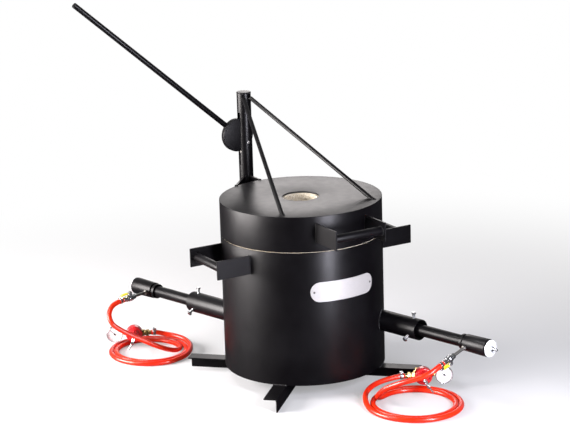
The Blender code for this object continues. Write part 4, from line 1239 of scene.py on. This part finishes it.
for burner in burners:
    stem_way = Vector((0, 0, 1)) * STEM_SIDES[burner.side]
    along = aim(burner.jet_root, burner.jet, stem_way)
    nut_end = VALVE_START + VALVE_NUT
    body_end = nut_end + VALVE_BODY
    waist = VALVE_BODY_RADIUS * 0.86
    barrel_end = body_end - VALVE_END_NUT
    barrel = [(0, nut_end), (waist, nut_end), (waist, nut_end + VALVE_SLOPE),
              (VALVE_BODY_RADIUS, nut_end + VALVE_SLOPE * 2),
              (VALVE_BODY_RADIUS, barrel_end - VALVE_SLOPE), (waist, barrel_end - 0.001),
              (waist, barrel_end), (0, barrel_end)]
    tail = bar(VALVE_TAIL_RADIUS, body_end, HOSE_START - LINING_GAP, 0.0005, 48)
    shapes = joined(hexagon(VALVE_NUT_RADIUS, VALVE_START, nut_end),
                    turned(soften(barrel, 0.0008), 48),
                    hexagon(VALVE_BODY_RADIUS, barrel_end, body_end), tail)
    shapes.transform(along)
    stem_root = burner.jet_root + burner.jet * STEM_STATION
    up = stem_way - burner.jet * stem_way.dot(burner.jet)
    stem = aim(stem_root, up, burner.jet)
    seat = STEM_HEIGHT + VALVE_LEVER_THICKNESS + LINING_GAP * 2
    neck = [(0, 0), (STEM_RADIUS, 0), (STEM_RADIUS, STEM_HEIGHT * 0.8),
            (STEM_RADIUS * 0.8, STEM_HEIGHT), (STEM_PIN_RADIUS, STEM_HEIGHT),
            (STEM_PIN_RADIUS, seat), (0, seat)]
    post_parts = joined(turned(soften(neck, 0.0004), 32),
                        hexagon(STEM_NUT_RADIUS, seat, seat + STEM_NUT))
    piece(burner.named("valve"), joined(shapes, moved(post_parts, stem)), "root", "zinc", zinc,
          [burner.named("valve_body")])
    low = STEM_HEIGHT + LINING_GAP
    high = low + VALVE_LEVER_THICKNESS
    half = VALVE_LEVER_WIDTH / 2
    strap = carved(box((-half, -half, low), (GRIP_START + half, half, high)),
                   bar(STEM_PIN_RADIUS + LINING_GAP, 0, seat + STEM_NUT, 0, 32))
    piece(burner.named("valve_strap"), strap, burner.named("valve_lever"), "zinc", zinc,
          place=stem, edge=0.0005)
    middle = (low + high) / 2
    thick = GRIP_THICKNESS / 2
    wide = half + GRIP_COVER
    grip = box((GRIP_START, -wide, middle - thick + GRIP_COVER / 2),
               (VALVE_LEVER_LENGTH, wide, middle + thick))
    piece(burner.named("valve_grip"), grip, burner.named("valve_lever"), "yellow_vinyl", vinyl,
          [burner.named("valve_lever")], stem, edge=GRIP_ROUND)

# Hose clamps
# Plated worm-drive bands that hold each hose's ends: a slotted band, a saddle over it, and
# a slotted screw across the saddle.
CLAMP_WIDTH = 0.009
CLAMP_BAND = 0.0007
CLAMP_INSET = 0.0095
CLAMP_SLOTS = 26
SADDLE_LENGTH = 0.012
SADDLE_HEIGHT = 0.0062
SADDLE_LIP = 0.0008
WORM_RADIUS = 0.0030
WORM_GAP = 0.0004
WORM_SLOT = 0.0030
WORM_HEAD = 0.0042

ring_tree, given = geometry_tree("copies round a ring", {
    "Count": "Int", "Radius": "Float", "Start": "Float", "Sweep": "Float", "Size": "Vector",
    "Skin": "Material"})
index = given["Radius"].node("GeometryNodeInputIndex")
angle = given["Start"] + given["Sweep"] * (index / given["Count"])
spot = angle.node("ShaderNodeCombineXYZ", {}, {
    0: angle.maths("COSINE", angle, 0) * given["Radius"],
    1: angle.maths("SINE", angle, 0) * given["Radius"]})
dots = spot.node("GeometryNodePoints", {}, {"Count": given["Count"], "Position": spot})
tooth = dots.node("GeometryNodeMeshCube", {}, {"Size": given["Size"]})
turn_by = angle.node("ShaderNodeCombineXYZ", {}, {2: angle})
ringed = dots.node("GeometryNodeInstanceOnPoints", {},
                   {"Points": dots, "Instance": tooth, "Rotation": turn_by})
close_tree(ring_tree, ringed, given["Skin"])


def round_ring(count, radius, size, skin, start=0.0, sweep=360.0):
    """Small blocks round a circle about Z, as a bmesh."""
    base = linked("ring", bpy.data.meshes.new("ring"))
    return grown("ring", base, ring_tree, {
        "Count": count, "Radius": radius, "Start": radians(start), "Sweep": radians(sweep),
        "Size": size, "Skin": skin})


# Painted shade: a dark finish for small blocks that stand in for the band's slot holes, their
# colour being the shade inside the slots.
painted_slot_shade, shader, own = finish_named("shaded slot", Metallic=0.6)
own.noise(500, 2).tint((0.03, 0.03, 0.032), (0.09, 0.09, 0.09)).feed(shader, "Base Color")
(0.5 + own.noise(900, 1) * 0.2).feed(shader, "Roughness")

for burner in burners:
    up = Vector((0, 0, 1)) * STEM_SIDES[burner.side]
    ends = {"valve": (burner.jet_root + burner.jet * (HOSE_START + CLAMP_INSET), burner.jet, up),
            "regulator": (burner.regulator + burner.outlet * (OUTLET_END + CLAMP_INSET),
                          burner.outlet, Vector((0, 0, 1)))}
    for end, (spot, way, saddle_way) in ends.items():
        place = aim(spot, way, saddle_way)
        half = CLAMP_WIDTH / 2
        inside = HOSE_RADIUS + LINING_GAP / 2
        outside = inside + CLAMP_BAND
        band = pipe(outside, inside, -half, half, 0.0003, 64)
        reach = outside + SADDLE_HEIGHT / 2
        lip = half + SADDLE_LIP
        saddle = box((outside - CLAMP_BAND, -SADDLE_LENGTH / 2, -lip),
                     (outside + SADDLE_HEIGHT, SADDLE_LENGTH / 2, lip))
        bmesh.ops.bevel(saddle, geom=saddle.edges[:], offset=0.0014, segments=3, affect="EDGES",
                        profile=0.5)
        worm = aim((reach, -SADDLE_LENGTH / 2, 0), (0, -1, 0))
        slot = box((-WORM_RADIUS * 2, -WORM_GAP, WORM_SLOT),
                   (WORM_RADIUS * 2, WORM_GAP, WORM_SLOT * 2))
        worm_head = carved(hexagon(WORM_RADIUS * 1.12, WORM_GAP, WORM_HEAD), slot)
        piece(burner.named(end + "_clamp"), joined(band, saddle, moved(worm_head, worm)), "root",
              "zinc", zinc, place=place)
        # The band's slots are small dark blocks round it, painted shade in place of real holes.
        slots = round_ring(CLAMP_SLOTS, outside, (0.0004, 0.0006, CLAMP_WIDTH * 0.55), painted_slot_shade,
                           28, 304)
        piece(burner.named(end + "_clamp_slots"), slots, "root", "zinc", painted_slot_shade, place=place)

# Regulators
# A round cast body in red enamel with a coned bonnet for its spring, brass nuts at the
# inlet and the outlet, and a T-handled screw in the bonnet that sets the pressure.
REGULATOR_RADIUS = 0.0255
REGULATOR_BACK = 0.012
REGULATOR_FRONT = 0.018
FRONT_SLOPE = 0.004
BONNET_RADIUS = 0.0195
BONNET_TIP_RADIUS = 0.0095
BONNET_LENGTH = 0.028
OUTLET_NUT_RADIUS = 0.0105
OUTLET_NUT_END = 0.045
OUTLET_NUT = 0.009
OUTLET_NECK = 0.004
OUTLET_TAIL_RADIUS = 0.0068
GAUGE_STEM_RADIUS = 0.0065
GAUGE_NUT = 0.005
GAUGE_DISTANCE = 0.060
GAUGE_RADIUS = 0.025
INLET_NUT_RADIUS = 0.0105
INLET_LENGTH = 0.020
INLET_OFFSET = {"right": 0.014, "left": 0.004}
INLET_RISE = 0.004
INLET_NECK = 0.005
INLET_LIP = 0.003
T_SCREW_RADIUS = 0.004
T_SCREW_REACH = 0.100
T_SCREW_START = 0.042
T_SCREW_PITCH = 0.0015
T_SCREW_HEAD = 0.005
T_BAR_RADIUS = 0.0024
T_BAR_LENGTH = 0.048
T_BAR_TILT = {"right": 54, "left": -58}
BONNET_RIBS = 12
BONNET_RIB = (0.0034, 0.0022)
RIM_RIBS = 40
RIM_RIB = (0.0014, 0.0019, 0.0052)
RIM_SINK = 0.0004

red_enamel, shader, own = finish_named("red enamel", Coat_Weight=0.5, Coat_Roughness=0.1)
flow_out = own.noise(60, 3)
cast_grain = own.noise(420, 2)
flow_out.tint((0.50, 0.006, 0.010), (0.66, 0.014, 0.018)).feed(shader, "Base Color")
(0.20 + cast_grain * 0.16).feed(shader, "Roughness")
(flow_out * 0.4 + cast_grain * 0.6).bump(shader, 0.0004, 0.5)

brass, shader, own = finish_named("machined brass", Metallic=1.0)
bloom = own.noise(120, 4)
lathe = own.noise(1400, 2)
shade = lathe.tint((0.74, 0.50, 0.16), (0.88, 0.66, 0.28))
(bloom.rise(0.55, 0.75) * 0.5).tint(shade, (0.45, 0.28, 0.10)).feed(shader, "Base Color")
(0.20 + bloom * 0.16).feed(shader, "Roughness")
lathe.bump(shader, 0.00005, 0.5)

for burner in burners:
    centre = burner.regulator
    place = aim(centre, burner.screw, burner.outlet)
    front = REGULATOR_FRONT
    shoulder = REGULATOR_FRONT * 0.25
    outline = [(0, -REGULATOR_BACK), (REGULATOR_RADIUS * 0.86, -REGULATOR_BACK),
               (REGULATOR_RADIUS * 0.98, -REGULATOR_BACK * 0.6), (REGULATOR_RADIUS, shoulder),
               (REGULATOR_RADIUS, front - FRONT_SLOPE), (REGULATOR_RADIUS * 0.92, front),
               (0, front)]
    tip = front + BONNET_LENGTH
    cone = [(0, front), (BONNET_RADIUS, front), (BONNET_RADIUS * 0.9, front + 0.005),
            (BONNET_TIP_RADIUS * 1.08, tip - 0.007), (BONNET_TIP_RADIUS, tip), (0, tip)]
    cone_body = carved(turned(soften(cone, 0.0016, 4), 80),
                       bar(T_SCREW_RADIUS + LINING_GAP, T_SCREW_START, tip + LINING_GAP, 0, 32))
    rib_ring = round_ring(BONNET_RIBS, (BONNET_RADIUS + BONNET_TIP_RADIUS) / 2,
                          (*BONNET_RIB, BONNET_LENGTH * 0.55), red_enamel)
    rib_ring.transform(Matrix.Translation((0, 0, front + BONNET_LENGTH * 0.42)))
    rim = round_ring(RIM_RIBS, REGULATOR_RADIUS - RIM_SINK, RIM_RIB, red_enamel)
    rim.transform(Matrix.Translation((0, 0, (shoulder + front - FRONT_SLOPE) / 2)))
    shell = joined(turned(soften(outline, 0.002, 5), 96), cone_body, rib_ring, rim)
    piece(burner.named("regulator"), shell, "root", "red_enamel", red_enamel,
          [burner.named("regulator_body")], place)
    outward = aim(centre, burner.outlet, burner.screw)
    wall = REGULATOR_RADIUS * 0.9
    neck_start = wall + OUTLET_NUT
    neck_end = neck_start + OUTLET_NECK
    outlet = joined(hexagon(OUTLET_NUT_RADIUS, wall, neck_start),
                    bar(OUTLET_NUT_RADIUS * 0.8, neck_start, neck_end, 0.0006, 40),
                    hexagon(OUTLET_NUT_RADIUS, neck_end, OUTLET_NUT_END),
                    bar(OUTLET_TAIL_RADIUS, OUTLET_NUT_END, OUTLET_END - LINING_GAP, 0.0004, 40))
    outlet.transform(outward)
    inlet_root = centre + burner.outlet * INLET_OFFSET[burner.side] + Vector((0, 0, INLET_RISE))
    inlet_end = REGULATOR_BACK + INLET_LENGTH
    nut_start = REGULATOR_BACK + INLET_NECK
    nut_end = inlet_end - INLET_LIP
    inlet = joined(bar(INLET_NUT_RADIUS * 0.78, REGULATOR_BACK * 0.8, nut_start, 0.0004, 40),
                   hexagon(INLET_NUT_RADIUS, nut_start, nut_end),
                   pipe(INLET_NUT_RADIUS * 0.8, INLET_NUT_RADIUS * 0.45, nut_end, inlet_end,
                        0.0006, 40))
    inlet.transform(aim(inlet_root, -burner.screw, burner.outlet))
    stem_end = GAUGE_DISTANCE - GAUGE_RADIUS - LINING_GAP
    stem = joined(hexagon(GAUGE_STEM_RADIUS * 1.15, wall, wall + GAUGE_NUT),
                  bar(GAUGE_STEM_RADIUS * 0.8, wall + GAUGE_NUT, stem_end, 0.0004, 40))
    stem.transform(aim(centre, -burner.outlet, burner.screw))
    piece(burner.named("regulator_nuts"), joined(outlet, inlet, stem), "root", None, brass)
    thread_end = T_SCREW_REACH - T_SCREW_HEAD - 0.001
    screw = [(0, T_SCREW_START),
             *thread(T_SCREW_RADIUS, T_SCREW_START, thread_end, T_SCREW_PITCH),
             (T_SCREW_RADIUS * 1.25, T_SCREW_REACH - T_SCREW_HEAD),
             (T_SCREW_RADIUS * 1.25, T_SCREW_REACH + T_BAR_RADIUS * 1.6),
             (0, T_SCREW_REACH + T_BAR_RADIUS * 2)]
    shank = moved(turned(screw, 32), place)
    level = Vector((0, 0, 1)).cross(burner.screw)
    lean = radians(T_BAR_TILT[burner.side])
    bar_way = -level * cos(lean) + Vector((0, 0, 1)) * sin(lean)
    half = T_BAR_LENGTH / 2
    grip = [(0, -half), (T_BAR_RADIUS * 0.8, -half), (T_BAR_RADIUS, -half + 0.001),
            (T_BAR_RADIUS, half - 0.001), (T_BAR_RADIUS * 0.8, half), (0, half)]
    cross = moved(turned(soften(grip, 0.0005), 32),
                  aim(centre + burner.screw * T_SCREW_REACH, bar_way))
    piece(burner.named("t_screw"), joined(shank, cross), burner.named("regulator_screw"), "zinc",
          zinc, [burner.named("regulator_screw")])

# Gauges
# Round pressure gauges in bright pressed cases, with a white dial, plain ticks and numbers,
# and a black pointer.
GAUGE_BACKSET = 0.006
GAUGE_DEPTH = 0.020
GAUGE_RIM = 0.0022
GAUGE_RIM_DEPTH = 0.006
GAUGE_CHAMFER = 0.001
GAUGE_RECESS = 0.006
NEEDLE_REST = 45
NEEDLE_HUB_RADIUS = 0.0028
NEEDLE_LENGTH = 0.017
NEEDLE_TAIL = 0.006
NEEDLE_WIDTH = 0.0016
NEEDLE_THICKNESS = 0.0006
NEEDLE_HUB = 0.0022
NEEDLE_STAND_OFF = 0.0009
DIAL_START = 225
DIAL_SWEEP = -270
DIAL_MARKS = 50
DIAL_NUMBERS = ("0", "2", "4", "6", "8", "10")
NUMBER_SIZE = 0.0046
DIAL_THICKNESS = 0.0005
INK_HEIGHT = 0.0001
FINE_TICK = (0.0014, 0.00028, INK_HEIGHT)
LONG_TICK = (0.0030, 0.00055, INK_HEIGHT)
FINE_TICK_PLACE = 0.90
LONG_TICK_PLACE = 0.87
NUMBER_PLACE = 0.66

chrome, shader, own = finish_named("bright gauge case", Metallic=1.0)
smear = own.noise(90, 3)
smear.tint((0.66, 0.65, 0.66), (0.82, 0.81, 0.82)).feed(shader, "Base Color")
(0.10 + smear * 0.14).feed(shader, "Roughness")
own.noise(700, 2).bump(shader, 0.00004, 0.4)

dial_white, shader, own = finish_named("dial white", Coat_Weight=0.6, Coat_Roughness=0.04)
own.noise(200, 3).tint((0.86, 0.86, 0.85), (0.93, 0.93, 0.92)).feed(shader, "Base Color")
(0.40 + own.noise(600, 1) * 0.1).feed(shader, "Roughness")

dial_black, shader, own = finish_named("printed black")
own.noise(900, 2).tint((0.010, 0.010, 0.011), (0.035, 0.035, 0.035)).feed(shader, "Base Color")
(0.42 + own.noise(500, 1) * 0.14).feed(shader, "Roughness")

for burner in burners:
    middle = burner.regulator - burner.outlet * GAUGE_DISTANCE
    place = aim(middle, burner.screw, (0, 0, 1))
    back = -GAUGE_BACKSET
    front = back + GAUGE_DEPTH
    dial = front - GAUGE_RECESS
    rim = GAUGE_RADIUS - GAUGE_RIM
    rim_back = front - GAUGE_RIM_DEPTH
    outline = [(0, back), (GAUGE_RADIUS * 0.9, back),
               (GAUGE_RADIUS * 0.93, rim_back - GAUGE_CHAMFER), (GAUGE_RADIUS, rim_back),
               (GAUGE_RADIUS, front - GAUGE_CHAMFER), (GAUGE_RADIUS - GAUGE_CHAMFER, front),
               (rim + GAUGE_CHAMFER * 0.6, front), (rim, front - GAUGE_CHAMFER * 1.5),
               (rim, dial), (0, dial)]
    piece(burner.named("gauge"), turned(soften(outline, 0.0007), 96), "root", "bare_steel",
          chrome, [burner.named("gauge_case")], place)
    face_level = dial + DIAL_THICKNESS
    face = bar(rim - LINING_GAP, dial, face_level, 0.0001, 96)
    piece(burner.named("dial"), face, "root", "bare_steel", dial_white, place=place)
    upright = place @ Matrix.Rotation(radians(90), 4, "Z")
    start = DIAL_START - 180
    fine = rim * FINE_TICK_PLACE
    long = rim * LONG_TICK_PLACE
    steps = len(DIAL_NUMBERS) - 1
    marks = [round_ring(DIAL_MARKS, fine, FINE_TICK, dial_black, start, DIAL_SWEEP),
             round_ring(steps, long, LONG_TICK, dial_black, start, DIAL_SWEEP),
             round_ring(1, long, LONG_TICK, dial_black, start + DIAL_SWEEP, 0)]
    turn_half = Matrix.Rotation(radians(180), 4, "Z")
    ink = joined(*marks)
    ink.transform(Matrix.Translation((0, 0, face_level)) @ turn_half)
    for k, text in enumerate(DIAL_NUMBERS):
        letters = bpy.data.curves.new("number", "FONT")
        letters.body = text
        letters.size = NUMBER_SIZE
        letters.align_x = "CENTER"
        letters.align_y = "CENTER"
        letters.extrude = INK_HEIGHT / 2
        typed = linked("number", letters)
        shape = final_mesh(typed)
        turn = radians(DIAL_START + DIAL_SWEEP * k / steps)
        spread = rim * NUMBER_PLACE
        shape.transform(Matrix.Translation((spread * cos(turn), spread * sin(turn), face_level)))
        ink.from_mesh(shape)
        bpy.data.objects.remove(typed, do_unlink=True)
    piece(burner.named("dial_marks"), ink, "root", "dial_black", dial_black, place=upright)
    low = dial + NEEDLE_STAND_OFF
    hub = bar(NEEDLE_HUB_RADIUS, low, low + NEEDLE_HUB, 0.0005, 32)
    pointer = bmesh.new()
    half = NEEDLE_WIDTH / 2
    shape = [(-NEEDLE_TAIL, half * 1.4), (-NEEDLE_TAIL, -half * 1.4), (0, -half),
             (NEEDLE_LENGTH, 0), (0, half)]
    for level in (low + NEEDLE_THICKNESS, low + NEEDLE_THICKNESS * 2):
        pointer.faces.new([pointer.verts.new((x, y, level)) for x, y in shape])
    rims = [f.verts[:] for f in pointer.faces]
    for k in range(len(shape)):
        after = (k + 1) % len(shape)
        pointer.faces.new([rims[0][k], rims[0][after], rims[1][after], rims[1][k]])
    piece(burner.named("pointer"), joined(hub, pointer), burner.named("needle"), "dial_black",
          dial_black, [burner.named("gauge_needle")],
          place @ Matrix.Rotation(radians(NEEDLE_REST), 4, "Z"))

HOSE_PIECES = ("regulator", "regulator_nuts", "t_screw", "gauge", "dial", "dial_marks", "pointer",
               "regulator_clamp", "regulator_clamp_slots")
for burner, hose, line, length in hoses:
    [bpy.data.objects[burner.named(name)] for name in HOSE_PIECES]

# Stage and light
# A plain floor that fades to white away from the forge. Four soft lights stand round it:
# a broad one at the left, a narrow one at the front, one behind and one high at the left.
# The world is white to the camera; in reflections it is a bright wall behind the forge.
STAGE_HALF = 30
FADE_START = 0.7
FADE_END = 2.2
PAPER = (0.76, 0.765, 0.785)
MIRRORED_PAPER = (0.022, 0.022, 0.024)
PAPER_LIFT = 0.28
WALL_WAY = (0.60, 0.80, 0.10)
WALL_GLOW = 0.50
DARK_GLOW = 0.03
SKY_LIGHT = 0.16

mesh = bpy.data.meshes.new("floor")
corners = ((-1, -1), (1, -1), (1, 1), (-1, 1))
mesh.from_pydata([(x * STAGE_HALF, y * STAGE_HALF, FLOOR) for x, y in corners], [],
                 [(0, 1, 2, 3)])
ground = linked("floor", mesh)
paper, shader, own = finish_named("white paper", Roughness=0.75)
rays = own.node("ShaderNodeLightPath").socket.node.outputs
camera_ray = Flow(paper.node_tree, rays["Is Camera Ray"])
glossy_ray = Flow(paper.node_tree, rays["Is Glossy Ray"])
glossy_ray.tint(PAPER, MIRRORED_PAPER).feed(shader, "Base Color")
glow = own.node("ShaderNodeEmission", {}, {"Color": (1, 1, 1, 1), "Strength": 1.0})
distance = own.node("ShaderNodeVectorMath", {"operation": "LENGTH"}, {0: own}, 1)
bare = (distance.rise(FADE_START, FADE_END) * (1 - PAPER_LIFT) + PAPER_LIFT) * camera_ray
mixed = own.node("ShaderNodeMixShader", {}, {0: bare, 1: Flow(paper.node_tree, shader.outputs[0]),
                                            2: glow})
out = paper.node_tree.nodes["Material Output"]
paper.node_tree.links.new(mixed.socket, out.inputs["Surface"])
mesh.materials.append(paper)

world = bpy.data.worlds.new("studio")
bpy.context.scene.world = world
world.use_nodes = True
tree = world.node_tree
tree.nodes.clear()
start = Flow(tree)
direction = start.node("ShaderNodeTexCoord")
toward = direction.node("ShaderNodeVectorMath", {"operation": "DOT_PRODUCT"},
                        {0: direction, 1: WALL_WAY}, 1)
wall = toward.rise(0.1, 0.9) * WALL_GLOW + DARK_GLOW
rays = start.node("ShaderNodeLightPath").socket.node.outputs
camera_ray = Flow(tree, rays["Is Camera Ray"])
glossy_ray = Flow(tree, rays["Is Glossy Ray"])
clear_ray = Flow(tree, rays["Is Transmission Ray"])
shown = camera_ray.maths("MAXIMUM", camera_ray, wall)
shown_sky = start.node("ShaderNodeBackground", {}, {"Strength": shown})
light_sky = start.node("ShaderNodeBackground", {}, {"Strength": SKY_LIGHT})
which = camera_ray.maths("MAXIMUM", camera_ray, glossy_ray)
which = which.maths("MAXIMUM", which, clear_ray)
sky = start.node("ShaderNodeMixShader", {}, {0: which, 1: light_sky, 2: shown_sky})
sky_out = tree.nodes.new("ShaderNodeOutputWorld")
tree.links.new(sky.socket, sky_out.inputs["Surface"])

AIM_LEVEL = 0.3
LAMPS = {
    "left_box": (158, 2.5, 0.80, (1.9, 1.5), 215, (1.0, 0.95, 0.935)),
    "front_card": (-86, 1.7, 0.60, (0.20, 1.2), 42, (0.90, 0.89, 1.0)),
    "back_box": (59, 4.0, 1.65, (1.1, 1.3), 16, (1.0, 0.945, 0.935)),
    "top_box": (152, 1.3, 2.7, (0.8, 0.8), 24, (1.0, 0.985, 0.97)),
}
for name, (way, away, level, size, watts, colour) in LAMPS.items():
    spot = heading(way) * away + Vector((0, 0, level))
    lamp = bpy.data.lights.new(name, "AREA")
    lamp.shape = "RECTANGLE"
    lamp.size, lamp.size_y = size
    lamp.energy = watts
    lamp.color = colour
    made = linked(name, lamp)
    made.matrix_world = aim(spot, spot - Vector((0, 0, AIM_LEVEL)), heading(way + 90))
    made.visible_camera = False
bpy.context.scene.view_settings.view_transform = "Standard"
